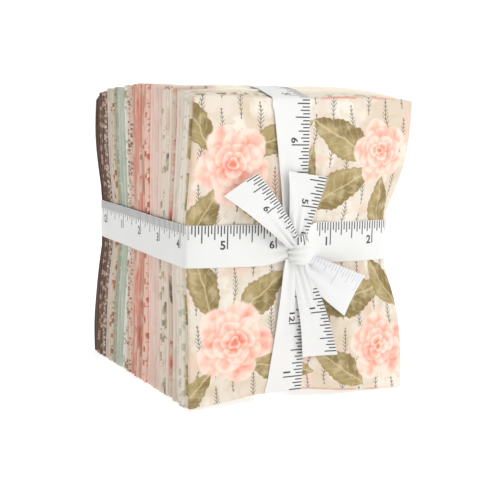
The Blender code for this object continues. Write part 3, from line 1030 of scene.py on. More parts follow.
@dataclass
class FatQuarter:
    """One fat quarter: folded in four along its length, and then back and forth in four across.

    extra is its share of the stack's spare depth. out and rise, in millimetres, are how far its left folds
    and its top stand out, and detail is how many times finer its mesh is. setback is how far its raw edges
    stay behind its inner folds, and gap is the space between its layers. Over the last end_round of its
    height it is drawn together to end_thickness of its depth. The slips are how unevenly its upper and
    lower folds end, and corner_drop is how much lower its top corners lie.
    """

    name: str
    extra: float
    out: float
    rise: float
    finish: ClothFinish
    detail: int = 1
    columns: int = 9
    rows: int = 20
    setback: float = 1.2 * MM
    end_round: float = 2.2 * MM
    end_thickness: float = 0.72
    gap: float = 0.3 * MM
    top_slip: float = 0.9 * MM
    low_slip: float = 0.55 * MM
    corner_drop: float = 1.0 * MM

    def plan(self, front: float, back: float, half_width: float) -> tuple[list[Point], float]:
        """The back-and-forth section, seen from above.

        Args:
            front: the quarter's front, in depth.
            back: its back.
            half_width: half the folded width.

        Returns:
            The section's points, from the front layer's raw edge, and one layer's thickness.
        """
        layer = (back - front - (LAYERS - 1) * self.gap) / LAYERS
        pitch = layer + self.gap
        radius = pitch / 2
        left = -half_width - self.out * MM + radius + layer / 2
        turn = half_width - radius - layer / 2
        count = self.columns * self.detail
        path: list[tuple[Vector, Vector]] = []
        for i in range(LAYERS):
            y = front + layer / 2 + pitch * i
            leftward = i % 2 == 0
            right = half_width - self.setback if i in (0, LAYERS - 1) else turn
            stops = [left + (right - left) * k / count for k in range(count + 1)]
            normal = Vector((0, -1 if leftward else 1))
            path += [(Vector((x, y)), normal) for x in (stops[::-1] if leftward else stops)]
            if i == LAYERS - 1:
                break
            if leftward:
                path += list(arc(Vector((left, y + radius)), radius, 270, 90, 6))
            else:
                fold = arc(Vector((turn, y + radius)), radius, -90, 90, 4)
                path += [(point, -normal_out) for point, normal_out in fold]
        return measured(path), layer

    def profile(self, bottom: float, top: float, ply: float) -> list[Point]:
        """The four plies of one layer, seen from the side, as height against depth in the layer.

        The sheet is folded in half and in half again, so that its top is two round folds, one inside
        the other, and its bottom is one fold and two raw edges.

        Args:
            bottom: the height of its bottom.
            top: the height of its top.
            ply: the distance of the plies.

        Returns:
            The profile's points, from one raw edge to the other.
        """
        half = CLOTH_THICKNESS / 2
        high = top - 1.5 * ply - half
        low = bottom + 0.5 * ply + half
        raw = bottom + half + 0.4 * MM
        count = self.rows * self.detail

        def run(depth: float, start: float, stop: float) -> list[tuple[Vector, Vector]]:
            """Straight cloth at one depth, with closer points near both folds.

            Args:
                depth: its depth in the layer.
                start: the height that it starts from.
                stop: the height that it runs to.

            Returns:
                Its points and normals.
            """
            found = []
            for k in range(count + 1):
                share = k / count - 0.55 / (2 * math.pi) * math.sin(2 * math.pi * k / count)
                found.append((Vector((depth, start + (stop - start) * share)), Vector((1, 0))))
            return found

        path = run(-0.5 * ply, raw, high)
        path += list(arc(Vector((0, high)), 0.5 * ply, 180, 0, 4))
        path += run(0.5 * ply, high, low)
        path += list(arc(Vector((ply, low)), 0.5 * ply, 180, 360, 4))
        path += run(1.5 * ply, low, high)
        path += list(arc(Vector((0, high)), 1.5 * ply, 0, 180, 8))
        path += run(-1.5 * ply, high, raw)
        return measured(path)

    def build(self, stack: Stack, front: float, back: float, number: int) -> bpy.types.Object:
        """Fold the quarter, give it its thickness and dress it.

        Args:
            stack: the stack that it stands in.
            front: its front, in depth from the stack's middle.
            back: its back.
            number: its place in the stack, which also picks its small irregularities.

        Returns:
            The finished piece.
        """
        section, layer = self.plan(front, back, stack.fold_width / 2)
        ply = (layer - CLOTH_THICKNESS) / 3
        middle = (front + back) / 2
        top = stack.top_of(middle) + self.rise * MM
        side = self.profile(0.0, top, ply)
        width, length = section[-1].flat, side[-1].flat

        def slip(flat: float, end: float) -> float:
            """How far this stretch's fold stops short, from 0 to 1."""
            return 0.5 + 0.5 * noise.noise(Vector((flat / 0.075, number * 3.7, end)))

        def fold(i: int, j: int) -> Vector:
            """Where a point of the flat cloth lies in the stack.

            Args:
                i: its column.
                j: its row.

            Returns:
                The point in the frame.
            """
            across, up = section[i], side[j]
            plan = across.place + across.normal * up.place.x
            z = up.place.y
            near_top = smooth(z, top - 0.025, top)
            corner = smooth(plan.x, 0.047, 0.0572) + 0.6 * smooth(-plan.x, 0.0535, 0.058)
            top_slip = self.top_slip * slip(across.flat, 1.0) * smooth(z, top - 0.04, top)
            z -= top_slip + self.corner_drop * corner * near_top
            z += self.low_slip * slip(across.flat, 5.0) * (1 - smooth(z, 0, 0.03))
            last = math.exp(-max(stack.depth / 2 - plan.y, 0) / stack.shoulder_reach)
            z -= stack.shoulder * last * near_top
            plan.y -= stack.shoulder_inward * last * smooth(z, top - 0.022, top)
            nearest = min(max(min(z, top - z) / self.end_round, 0), 1)
            rounding = math.sqrt(1 - (1 - nearest) ** 2)
            share = self.end_thickness + (1 - self.end_thickness) * rounding
            return stack.place(plan.x, middle + (plan.y - middle) * share, z)

        columns = [point.flat / width for point in section]
        rows = [point.flat / length for point in side]
        piece = sheet_mesh(self.name, columns, rows, fold)
        thicken(piece, CLOTH_THICKNESS, 50)
        give_finish(piece, self.finish.material(self.name))
        node = self.name.replace("folded_", "")
        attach(piece, ROOT)
        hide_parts(node)
        LOG.info("%s: folded, %d faces", self.name, len(piece.data.polygons))
        return piece


QUARTERS = (
    FatQuarter(
        "folded_quarter_01_cream_floral", 0.0, 0.6, 0.0,
        ClothFinish(
            Print.BOUQUET, (231, 221, 207), (222, 205, 184), dark=(92, 86, 80), seed=1,
            touches=(
                Touch((238, 158, 138), 30, 420.3, 42, 3.6, 0.52),
                Touch((236, 156, 138), 200, 420.9, 46, 3.4),
                Touch((214, 168, 148), 34, 279.0, 50, 1.5),
            ),
        ),
        detail=2,
    ),
    FatQuarter(
        "folded_quarter_02_cream_mint", 2.0, 0.9, -0.5,
        ClothFinish(
            Print.DITSY, (238, 230, 217), (228, 220, 203), (214, 214, 192), (206, 206, 180), (190, 186, 162),
            seed=2, touches=(Touch((158, 148, 102), 98, 417.5, 26, 3.4),),
        ),
    ),
    FatQuarter(
        "folded_quarter_03_stone_cream", 2.0, 0.5, 0.2,
        ClothFinish(Print.TONAL, (230, 217, 203), (216, 200, 184), seed=3, rim=(250, 241, 225)),
    ),
    FatQuarter(
        "folded_quarter_04_cream_coral_sprig", 1.5, -0.7, 0.6,
        ClothFinish(
            Print.GARDEN, (222, 206, 188), (210, 186, 164), (206, 116, 92), (146, 134, 92), (108, 90, 72),
            seed=4, rim=(252, 243, 226),
        ),
    ),
    FatQuarter(
        "folded_quarter_05_cream_olive_sprig", 0.0, -0.2, 0.0,
        ClothFinish(
            Print.GARDEN, (236, 225, 211), (228, 213, 198), (226, 180, 156), (170, 160, 116), (130, 116, 90),
            seed=5, rim=(252, 245, 231),
        ),
    ),
    FatQuarter(
        "folded_quarter_06_ivory", 0.4, 0.1, 0.5,
        ClothFinish(
            Print.DITSY, (238, 226, 210), (226, 213, 198), (206, 182, 160), (196, 184, 154), (160, 142, 122),
            seed=6, rim=(252, 245, 231),
        ),
    ),
    FatQuarter(
        "folded_quarter_07_blush", 2.6, 0.3, 0.2,
        ClothFinish(Print.TONAL, (234, 211, 198), (226, 198, 185), seed=7, rim=(253, 247, 235)),
    ),
    FatQuarter(
        "folded_quarter_08_pink", 2.0, -0.3, 0.9,
        ClothFinish(Print.TONAL, (240, 211, 199), (233, 201, 187), seed=8, rim=(253, 247, 235)),
    ),
    FatQuarter(
        "folded_quarter_09_pink_coral_print", 0.0, 0.2, 0.3,
        ClothFinish(
            Print.DITSY, (244, 210, 194), (238, 198, 180), (222, 128, 104), (182, 156, 124), (190, 106, 84),
            seed=9, scale=0.8,
        ),
    ),
    FatQuarter(
        "folded_quarter_10_pinkish_cream", 0.0, -0.4, 0.7,
        ClothFinish(Print.CLOUD, (228, 198, 182), (208, 154, 136), (184, 108, 88), (146, 122, 88), seed=10),
    ),
    FatQuarter(
        "folded_quarter_11_coral", 0.3, 0.4, 1.0,
        ClothFinish(Print.CLOUD, (232, 200, 184), (224, 152, 132), (212, 104, 84), (160, 130, 98), seed=11),
    ),
    FatQuarter(
        "folded_quarter_12_peach", 0.0, 0.0, 0.4,
        ClothFinish(Print.CLOUD, (226, 191, 173), (212, 152, 134), (226, 206, 190), (140, 118, 84), seed=12),
    ),
    FatQuarter(
        "folded_quarter_13_red_speckle", 2.0, 0.3, 0.1,
        ClothFinish(
            Print.SPECKLE, (226, 202, 184), (208, 178, 158), (178, 86, 70), dark=(112, 78, 56), seed=13
        ),
    ),
    FatQuarter(
        "folded_quarter_14_grey_cream", 0.0, -0.5, 0.5,
        ClothFinish(
            Print.DITSY, (238, 238, 228), (228, 229, 218), (214, 168, 148), (176, 170, 134), (150, 138, 104),
            seed=14,
        ),
    ),
    FatQuarter(
        "folded_quarter_15_sage", 2.7, 0.2, -0.2,
        ClothFinish(Print.TONAL, (200, 205, 189), (183, 193, 175), seed=15),
    ),
    FatQuarter(
        "folded_quarter_16_grey_green", 0.3, -0.2, 0.4,
        ClothFinish(
            Print.DITSY, (179, 180, 161), (165, 166, 147), (216, 216, 198), (158, 164, 140), (130, 132, 110),
            seed=16,
        ),
    ),
    FatQuarter(
        "folded_quarter_17_olive_cream", 0.2, 0.3, 0.0,
        ClothFinish(
            Print.DITSY, (221, 209, 187), (207, 193, 165), (204, 112, 86), (164, 152, 104), (140, 124, 92),
            seed=17, scale=0.8,
        ),
    ),
    FatQuarter(
        "folded_quarter_18_taupe", 0.2, -0.1, 0.5,
        ClothFinish(Print.TONAL, (216, 200, 190), (202, 186, 174), seed=18),
    ),
    FatQuarter(
        "folded_quarter_19_brown_cream_print", 0.0, 0.2, -0.4,
        ClothFinish(
            Print.SPECKLE, (136, 112, 98), (116, 94, 80), (232, 220, 208), dark=(210, 192, 176),
            seed=19, scale=1.25,
        ),
    ),
    FatQuarter(
        "folded_quarter_20_brown_pink_print", 1.9, 0.4, 0.2,
        ClothFinish(
            Print.DITSY, (116, 92, 78), (100, 78, 64), (216, 176, 158), (170, 144, 122), (166, 122, 104),
            seed=20, scale=0.7,
        ),
    ),
    FatQuarter(
        "folded_quarter_21_dark_brown", 1.5, 0.0, 0.0,
        ClothFinish(Print.TONAL, (98, 76, 64), (84, 64, 54), seed=21),
    ),
)


def build_quarters(stack: Stack) -> list[bpy.types.Object]:
    """Fold every quarter and stand it in its place.

    Args:
        stack: the stack.

    Returns:
        The pieces, from the front.
    """
    spare = stack.depth - THINNEST_PITCH * len(QUARTERS)
    unit = spare / sum(quarter.extra for quarter in QUARTERS)
    front = -stack.depth / 2
    pieces = []
    for number, quarter in enumerate(QUARTERS, 1):
        pitch = THINNEST_PITCH + unit * quarter.extra
        near, far = front + QUARTER_GAP / 2, front + pitch - QUARTER_GAP / 2
        pieces.append(quarter.build(stack, near, far, number))
        front += pitch
    return pieces


# The tape


LinePoint = tuple[Vector, float, float]


def taut_line(points: Iterable[Vector]) -> list[Vector]:
    """The tight outline round flat points.

    Args:
        points: the points.

    Returns:
        The outline's corners, anticlockwise.
    """
    ordered = sorted(points, key=lambda p: (p.x, p.y))
    corners: list[Vector] = []
    for run in (ordered, ordered[::-1]):
        side: list[Vector] = []
        for point in run:
            while len(side) > 1 and (side[-1] - side[-2]).cross(point - side[-1]) <= 0:
                side.pop()
            side.append(point)
        corners += side[:-1]
    return corners


def right_of(start: Vector, stop: Vector) -> Vector:
    """The unit vector to the right of the way from start to stop."""
    along = (stop - start).normalized()
    return Vector((along.y, -along.x))


@dataclass
class Station:
    """A place along a strip of tape.

    centre is on its middle line, up points to its marked edge, normal out of its printed side, half is
    half its width there, gather is how deep its lengthwise folds are, and curl is how far its edges stand
    over its middle.
    """

    centre: Vector
    up: Vector
    normal: Vector
    half: float = TAPE_WIDTH / 2
    gather: float = 0.0
    curl: float = 0.0


@dataclass
class Strip:
    """A length of printed tape laid along its stations.

    first_reading is what the ruler says at its start, inch is its printed inch, and its numbers start
    again after cycle. It has this many folds where it is gathered, and a valley in the middle if valley is
    set. unmarked is how far from its start its marks are hidden, and across is how many rows its mesh has.
    reach is how far along the strip each station is.
    """

    name: str
    node: str
    stations: list[Station]
    slot: str = "tape_white"
    held: str = "stretched"
    first_reading: float = 0.0
    inch: float = PRINTED_INCH
    cycle: int = 12
    folds: int = 3
    valley: bool = False
    unmarked: float = 0.0
    across: int = 36
    bowed: bool = field(init=False)
    reach: list[float] = field(init=False)

    def __post_init__(self) -> None:
        """Note whether its edges curl, and measure how far along the strip each station is."""
        self.bowed = any(station.curl for station in self.stations)
        self.reach = [0.0]
        for before, after in zip(self.stations, self.stations[1:]):
            self.reach.append(self.reach[-1] + (after.centre - before.centre).length)

    def shape(self, station: Station, share: float) -> Vector:
        """The strip's surface at a station.

        Args:
            station: the station.
            share: where across the strip, from -1 at its plain edge to 1 at its marked one.

        Returns:
            The point.
        """
        ripple = station.gather * math.cos(math.pi * self.folds * share) * (1 - smooth(share, 0.3, 0.8))
        lift = (-ripple if self.valley else ripple) + station.curl * share * share
        return station.centre + station.up * station.half * share + station.normal * lift

    def span(self, along: float) -> tuple[Station, Station, float]:
        """The stations on both sides of a place on the strip.

        Args:
            along: how far along the strip it is.

        Returns:
            The station before it, the one after it and its share of the way between them.
        """
        k = min(max(bisect_right(self.reach, along) - 1, 0), len(self.reach) - 2)
        share = (along - self.reach[k]) / max(self.reach[k + 1] - self.reach[k], 1e-9)
        return self.stations[k], self.stations[k + 1], share

    def gathered(self, along: float) -> float:
        """How deep the lengthwise folds are at this place along the strip."""
        low, high, t = self.span(along)
        return low.gather * (1 - t) + high.gather * t

    def at(self, along: float, share: float, height: float) -> Vector:
        """A point on or over the strip.

        Args:
            along: how far along the strip it is.
            share: where across it, from -1 to 1.
            height: how far over its middle surface, on its printed side.

        Returns:
            The point.
        """
        low, high, t = self.span(along)
        row = 2 / self.across
        point = self.shape(low, share) * (1 - t) + self.shape(high, share) * t
        rise = self.shape(low, share + row) - self.shape(low, share - row)
        rise = rise * (1 - t) + (self.shape(high, share + row) - self.shape(high, share - row)) * t
        normal = (self.shape(high, share) - self.shape(low, share)).cross(rise).normalized()
        if normal.dot(low.normal) < 0:
            normal.negate()
        return point + normal * height

    def build(self, material: bpy.types.Material, ink: bpy.types.Material) -> bpy.types.Object:
        """Lay the strip, print its marks and dress both.

        Args:
            material: the tape's finish.
            ink: the finish of its marks.

        Returns:
            The strip.
        """
        columns = [reach / self.reach[-1] for reach in self.reach]
        rows = [k / self.across for k in range(self.across + 1)]

        def lay(i: int, j: int) -> Vector:
            """Where the flat tape's point in this column and row lies."""
            return self.shape(self.stations[i], 2 * rows[j] - 1)

        piece = sheet_mesh(self.name, columns, rows, lay)
        thicken(piece, TAPE_THICKNESS, 50)
        give_finish(piece, material)
        marks = TapeMarks(self).build(ink)
        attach(piece, ROOT)
        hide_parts(self.node)
        length = self.reach[-1]
        LOG.info("%s: %.0f mm of tape", self.name, length / MM)
        return piece


@dataclass
class TapeMarks:
    """The printed marks of a strip: a line every sixteenth of an inch, and a number at every inch.

    proud is how far the ink's underside stands over the tape and depth how thick it is. A number is left
    out where the tape is gathered deeper than smooth_limit.
    """

    strip: Strip
    line_width: float = 0.56 * MM
    proud: float = 0.012 * MM
    depth: float = 0.012 * MM
    digit_height: float = 3.9 * MM
    digit_drop: float = 6.9 * MM
    digit_gap: float = 0.75 * MM
    digit_room: float = 3 * MM
    smooth_limit: float = 0.34 * MM
    flat_limit: float = 0.02 * MM

    LENGTHS = {16: 10.6 * MM, 8: 7.8 * MM, 4: 6.3 * MM, 2: 4.9 * MM, 1: 3.7 * MM}

    def build(self, ink: bpy.types.Material) -> bpy.types.Object:
        """Print the marks as thin raised ink.

        Args:
            ink: the finish.

        Returns:
            The marks as one piece.
        """
        strip = self.strip
        first = math.ceil(strip.first_reading * 16 + 0.3)
        last = math.floor((strip.first_reading + strip.reach[-1] / strip.inch) * 16 - 0.3)
        points: list[Vector] = []
        faces: list[tuple[int, ...]] = []
        for mark in range(first, last + 1):
            along = (mark / 16 - strip.first_reading) * strip.inch
            size = next(length for step, length in self.LENGTHS.items() if mark % step == 0)
            if along > strip.unmarked:
                self.add_line(points, faces, along, size)
        mesh = bpy.data.meshes.new(strip.name + "_marks")
        mesh.from_pydata(points, [], faces)
        lines = bpy.data.objects.new(mesh.name, mesh)
        bpy.context.scene.collection.objects.link(lines)
        made = [lines]
        for mark in range(math.ceil(first / 16), last // 16 + 1):
            shown = (mark - 1) % strip.cycle + 1
            along = (mark - strip.first_reading) * strip.inch
            open_tape = max(self.digit_room, strip.unmarked) < along < strip.reach[-1]
            if open_tape and strip.gathered(along - 2 * MM) < self.smooth_limit:
                made.append(self.digit(str(shown), along))
        bpy.ops.object.select_all(action="DESELECT")
        for obj in made:
            obj.select_set(True)
        bpy.context.view_layer.objects.active = lines
        if len(made) > 1:
            bpy.ops.object.join()
        marks = bpy.context.view_layer.objects.active
        give_finish(marks, ink)
        for face in marks.data.polygons:
            face.material_index = 0
        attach(marks, ROOT)
        return marks

    def add_line(
        self, points: list[Vector], faces: list[tuple[int, ...]], along: float, size: float
    ) -> None:
        """Add one closed, thin line that runs from the marked edge inwards.

        Args:
            points: the mesh's points so far.
            faces: its faces so far.
            along: where the line stands on the strip.
            size: its length on flat tape.
        """
        base = len(points)
        half = self.line_width / 2
        depth = self.strip.gathered(along)
        low = TAPE_THICKNESS / 2 + self.proud + 0.03 * depth
        edge = 0.985
        stop = edge - size / (TAPE_WIDTH / 2)
        rows = [2 * k / self.strip.across - 1 for k in range(self.strip.across)]
        shares = [edge, *[row for row in reversed(rows) if stop < row < edge], stop]
        if depth < self.flat_limit and not self.strip.bowed:
            shares = [edge, stop]
        pieces = len(shares) - 1
        for share in shares:
            for height in (low, low + self.depth):
                for side in (-half, half):
                    points.append(self.strip.at(along + side, share, height))
        for k in range(pieces):
            a = base + 4 * k
            b = a + 4
            faces += [(a, a + 1, b + 1, b), (a + 2, b + 2, b + 3, a + 3)]
            faces += [(a, b, b + 2, a + 2), (a + 1, a + 3, b + 3, b + 1)]
        end = base + 4 * pieces
        faces += [(base, base + 2, base + 3, base + 1), (end, end + 1, end + 3, end + 2)]

    def digit(self, text: str, along: float) -> bpy.types.Object:
        """Print a number to the left of its inch line.

        Args:
            text: the number.
            along: where its inch line stands on the strip.

        Returns:
            The number, laid on the strip.
        """
        bpy.ops.object.select_all(action="DESELECT")
        bpy.ops.object.text_add()
        label = bpy.context.object
        label.data.body = text
        label.data.align_x = "RIGHT"
        label.data.resolution_u = 3
        label.data.offset = 0.026
        label.data.extrude = 0.5
        bpy.ops.object.convert(target="MESH")
        label = bpy.context.object
        turn = self.strip.span(along - 5 * MM)[0].normal.angle(self.strip.span(along)[1].normal)
        if self.strip.bowed or turn > math.radians(3) or self.strip.gathered(along) > self.flat_limit:
            bpy.ops.object.mode_set(mode="EDIT")
            bpy.ops.mesh.select_all(action="SELECT")
            bpy.ops.mesh.subdivide(number_cuts=3)
            bpy.ops.object.mode_set(mode="OBJECT")
        tall = max(v.co.y for v in label.data.vertices)
        scale = self.digit_height / tall
        for vertex in label.data.vertices:
            height = TAPE_THICKNESS / 2 + self.proud + self.depth * (vertex.co.z + 0.5)
            height += 0.08 * self.strip.gathered(along)
            down = self.digit_drop + (tall - vertex.co.y) * scale
            share = 1 - down / (TAPE_WIDTH / 2)
            vertex.co = self.strip.at(along - self.digit_gap + vertex.co.x * scale, share, height)
        return label


@dataclass(frozen=True)
class FreeEnd:
    """A free end's shape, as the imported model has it, in millimetres from the stack's middle.

    root_angle is where it leaves the knot, near and far are the corners of its cut, the lifts are how far
    it stands off the cloth at its root, middle and cut, and opening is 1 where it widens evenly. Its marks
    run inward from the cut or outward, and reading is what they say at the start. root is where it comes
    out, for an end that doesn't leave from the knot's middle.
    """

    name: str
    root_angle: float
    near: tuple[float, float]
    far: tuple[float, float]
    lifts: tuple[float, float, float]
    opening: float
    inward: bool
    reading: float
    reverse: bool = False
    root: tuple[float, float] | None = None
    unmarked: float = 0.0


FREE_ENDS = (
    FreeEnd("tape_end_upper_left", 132, (-43.4, 95.9), (-27.1, 105.9), (4.6, 5.8, 4.6), 0.9, True, 5.22),
    FreeEnd("tape_end_upper_right", 84, (-11.4, 106.6), (8.8, 103.7), (3.6, 4.6, 3.2), 0.9, True, 4.41),
    FreeEnd(
        "tape_end_lower", 286, (17.1, 20.4), (-1.8, 20.8), (2.8, 3.2, 2.4), 0.9, False, 11.86, unmarked=16.5
    ),
    FreeEnd(
        "tape_end_reverse", 322, (31.5, 57.0), (20.9, 38.5), (2.2, 6.6, 3.6), 0.5, False, 6.4,
        reverse=True, root=(2.4, 63.0),
    ),
)


@dataclass
class Tape:
    """Both bands of tape, the knot and the four free ends.

    stand is how far the middle of a band is off the cloth, neck_half is half the standing band's width at
    the knot, and step is the distance of the stations. climb is how much higher the level band lies at the
    back. one_x, five_x and six_z are where those numbers stand on the front.
    """

    stack: Stack
    pieces: list[bpy.types.Object]
    knot_x: float = -3.6 * MM
    knot_z: float = 71.0 * MM
    knot_shift: float = 1.2 * MM
    knot_across: float = 5.2 * MM
    knot_deep: float = 6.0 * MM
    stand: float = 0.12 * MM + TAPE_THICKNESS / 2
    neck_half: float = 4.8 * MM
    step: float = 2.5 * MM
    climb: float = 1.5 * MM
    one_x: float = 15.6 * MM
    five_x: float = -38.5 * MM
    six_z: float = 118.2 * MM
    root_half: float = 3.4 * MM
    root_reach: float = 3.0 * MM

    def build(self) -> None:
        """Lay and tie the tape."""
        white = TapeFinish((234, 234, 232), 0.4).material("tape_white")
        back = TapeFinish((233, 233, 234), 0.03, 0.6).material("tape_reverse")
        ink = print_material("tape_ink", (46, 45, 48))
        ghost = print_material("tape_ink_showing_through", (190, 191, 195))
        upright = self.upright()
        upright.build(white, ink)
        self.across(upright).build(white, ink)
        self.knot().build(white, ink)
        for end in FREE_ENDS:
            self.free_end(end).build(back if end.reverse else white, ghost if end.reverse else ink)

    def front_at(self, x: float, z: float) -> float:
        """The depth of the front cloth at this place of the stack, x and z from its middle and the floor."""
        return self.stack.place(x, -self.stack.depth / 2 + QUARTER_GAP / 2, z).y

    def cloth_points(self, keep: Callable[[Vector], bool]) -> list[Vector]:
        """The points of all the folded quarters that keep says yes to."""
        return [v.co.copy() for piece in self.pieces for v in piece.data.vertices if keep(v.co)]

    def rounded(self, corners: Sequence[Vector]) -> list[tuple[Vector, Vector]]:
        """A closed taut line, set off by the tape's stand, with a point every step.

        Args:
            corners: the line's corners, anticlockwise.

        Returns:
            Points and their outward normals.
        """
        found: list[tuple[Vector, Vector]] = []
        count = len(corners)
        for k, corner in enumerate(corners):
            after = corners[(k + 1) % count]
            arriving = right_of(corners[k - 1], corner)
            leaving = right_of(corner, after)
            turn = arriving.angle(leaving) if arriving.length and leaving.length else 0.0
            parts = max(1, round(turn / math.radians(18)))
            for i in range(parts + 1):
                normal = (arriving * (parts - i) + leaving * i).normalized()
                found.append((corner + normal * self.stand, normal))
            span = (after - corner).length
            pieces = max(1, round(span / self.step))
            for i in range(1, pieces):
                found.append((corner + (after - corner) * (i / pieces) + leaving * self.stand, leaving))
        spaced = [found[0]]
        for point, normal in found[1:]:
            if (point - spaced[-1][0]).length > 0.25 * MM:
                spaced.append((point, normal))
        return spaced

    def across(self, upright: Strip) -> Strip:
        """The level band, from the knot's right round the waist to its left.

        Args:
            upright: the standing band, which it crosses at the back.

        Returns:
            The band.
        """
        z = self.stack.waist_z
        half = TAPE_WIDTH / 2
        flat = [p.xy for p in self.cloth_points(lambda p: abs(p.z - z) < half + 2.5 * MM)]
        for station in upright.stations:
            if station.centre.y > 0 and abs(station.centre.z - z) < half + 2 * MM:
                for side in (-1, 1):
                    outer = station.centre + station.normal * TAPE_THICKNESS
                    flat.append(Vector((outer.x + side * station.half, outer.y)))
        loop = self.rounded(taut_line(flat))
        knot_x = self.knot_x + self.stack.shift.x
        gap = 1.5 * MM
        keep = [(p, n) for p, n in loop if p.y > 0 or abs(p.x - knot_x) > gap]
        first = min((p for p in keep if p[0].y < 0 and p[0].x > knot_x), key=lambda p: p[0].x)
        turn = keep.index(first)
        keep = keep[turn:] + keep[:turn]
        stations = []
        for point, normal in keep:
            front = point.y < 0 and abs(normal.x) < 0.5
            away = abs(point.x - knot_x) if front else 1.0
            right = point.x > knot_x
            tight = 1 - smooth(away, 3.5 * MM if right else 2 * MM, 9 * MM if right else 17 * MM)
            lift = (3.6 * MM if right else 1.2 * MM) * (1 - smooth(away, 2 * MM, 14 * MM))
            height = z + (self.knot_z - z) * 0.6 * tight
            height += self.climb * smooth(point.y, -self.stack.depth / 2, self.stack.depth / 2)
            height += 0.25 * MM * noise.noise(Vector((point.x / 0.03, point.y / 0.03, 2.0)))
            spot = point + normal * lift
            middle = Vector((spot.x, spot.y, height))
            narrow = (2.2 * MM if right else 3.6 * MM) * tight
            stations.append(
                Station(middle, Vector((0, 0, 1)), normal.to_3d(), half - narrow, 0.45 * MM * tight)
            )
        strip = Strip("tied_tape_across", "tape_across", stations, unmarked=7.5 * MM)
        one = self.nearest(stations, self.one_x, lambda s: s.centre.y < 0 and s.centre.x > knot_x)
        five = self.nearest(stations, self.five_x, lambda s: s.normal.y < -0.9 and s.centre.x < knot_x)
        # from the 1 on the right, once round the stack, to the 5 of the next foot on the left
        inches = strip.cycle + 5 - 1
        strip.inch = (strip.reach[five] - strip.reach[one]) / inches
        strip.first_reading = 1 + strip.cycle - strip.reach[one] / strip.inch
        return strip

    def nearest(self, stations: Sequence[Station], x: float, allowed: Callable[[Station], bool]) -> int:
        """Find the station closest to a place across the stack.

        Args:
            stations: the band's stations.
            x: the place, from the stack's middle.
            allowed: says whether a station counts.

        Returns:
            The station's number.
        """
        aim = x + self.stack.shift.x
        found = [k for k, station in enumerate(stations) if allowed(station)]
        return min(found, key=lambda k: abs(stations[k].centre.x - aim))

    def upright(self) -> Strip:
        """The standing band, from under the knot down, under the stack, up its back and over its top.

        Returns:
            The band.
        """
        stack = self.stack
        x = stack.band_x
        half_depth = stack.depth / 2 - QUARTER_GAP / 2
        band = TAPE_WIDTH / 2
        left, right = x + stack.shift.x - band, x + stack.shift.x + band
        over = self.cloth_points(lambda p: left <= p.x <= right and p.z > 0.12)
        under = self.cloth_points(lambda p: left <= p.x <= right and p.z < 0.03)
        peak = [p for p in taut_line([p.yz for p in over]) if p.y > 0.134]
        sole = [p for p in taut_line([p.yz for p in under]) if p.y < 9.5 * MM]
        low, high = 11 * MM, 133 * MM
        knot_low, knot_high = self.knot_z - 5 * MM, self.knot_z + 5 * MM

        def down_front(start: float, stop: float, steps: int, ahead: float = 0.0) -> list[LinePoint]:
            """Points down the front cloth.

            Args:
                start: the height of the first.
                stop: the height of the last.
                steps: how many steps there are between them.
                ahead: how far in front of the cloth the first one stands.

            Returns:
                Each point in depth and height, how close it is to the knot, and its place across.
            """
            found = []
            for k in range(steps + 1):
                z = start + (stop - start) * k / steps
                tight = max(1 - abs(z - self.knot_z) / (68 * MM), 0)
                place = x + (self.knot_x - x) * tight
                lift = 2.6 * MM * tight**1.6
                y = self.front_at(place, z) - lift + ahead * smooth(z, high - 28 * MM, high)
                found.append((Vector((y, z)), tight, place))
            return found

        middle = Vector((stack.shift.y, stack.fold_height / 2))

        def in_turn(corners: Sequence[Vector]) -> list[LinePoint]:
            """The corners of the cloth that the band goes round, in the order of its way."""
            turned = sorted(corners, key=lambda p: math.atan2(p.y - middle.y, p.x - middle.x))
            return [(p, 0.0, x) for p in turned]

        front_low = down_front(knot_low, low, 26)
        back = []
        for k in range(31):
            z = low + (high - low) * k / 30
            back.append((Vector((stack.place(x, half_depth, z).y, z)), 0.0, x))
        top = in_turn(peak)
        front_high = down_front(high, knot_high, 24, top[-1][0].x - self.front_at(x, high))
        line = self.spaced(front_low + in_turn(sole) + back + top + front_high)
        points = [point for point, _, _ in line]
        stations = []
        for k, (point, tight, place) in enumerate(line):
            before, after = points[max(k - 1, 0)], points[min(k + 1, len(points) - 1)]
            out = right_of(before, after)
            spot = point + out * self.stand
            centre = Vector((place + stack.shift.x, spot.x, spot.y))
            half = band + (self.neck_half - band) * tight
            direction = (after - before).normalized()
            normal = Vector((0, out.x, out.y))
            up = normal.cross(Vector((0, direction.x, direction.y)))
            stations.append(Station(centre, up, normal, half, 0.7 * MM * tight**2))
        strip = Strip("tied_tape_upright", "tape_upright", stations, folds=2, unmarked=16 * MM)
        at_six = min(
            (k for k, s in enumerate(stations) if k > len(stations) // 2 and s.centre.y < 0),
            key=lambda k: abs(stations[k].centre.z - self.six_z),
        )
        past = stations[at_six].centre.z - self.six_z
        reading = 6 - (strip.reach[at_six] + past) / strip.inch
        strip.first_reading = reading + strip.cycle * math.ceil(max(0, 1 - reading) / strip.cycle)
        return strip

    def spaced(self, line: list[LinePoint]) -> list[LinePoint]:
        """Leave out points that lie on each other, and divide long straight runs.

        Args:
            line: the points, each with how close it is to the knot and its place across.

        Returns:
            The evened line.
        """
        found = [line[0]]
        for item in line[1:]:
            start, stop = found[-1][0], item[0]
            span = (stop - start).length
            if span < 0.4 * MM:
                continue
            parts = max(1, round(span / (2 * self.step)))
            for k in range(1, parts):
                found.append((start + (stop - start) * k / parts, item[1], item[2]))
            found.append(item)
        return found

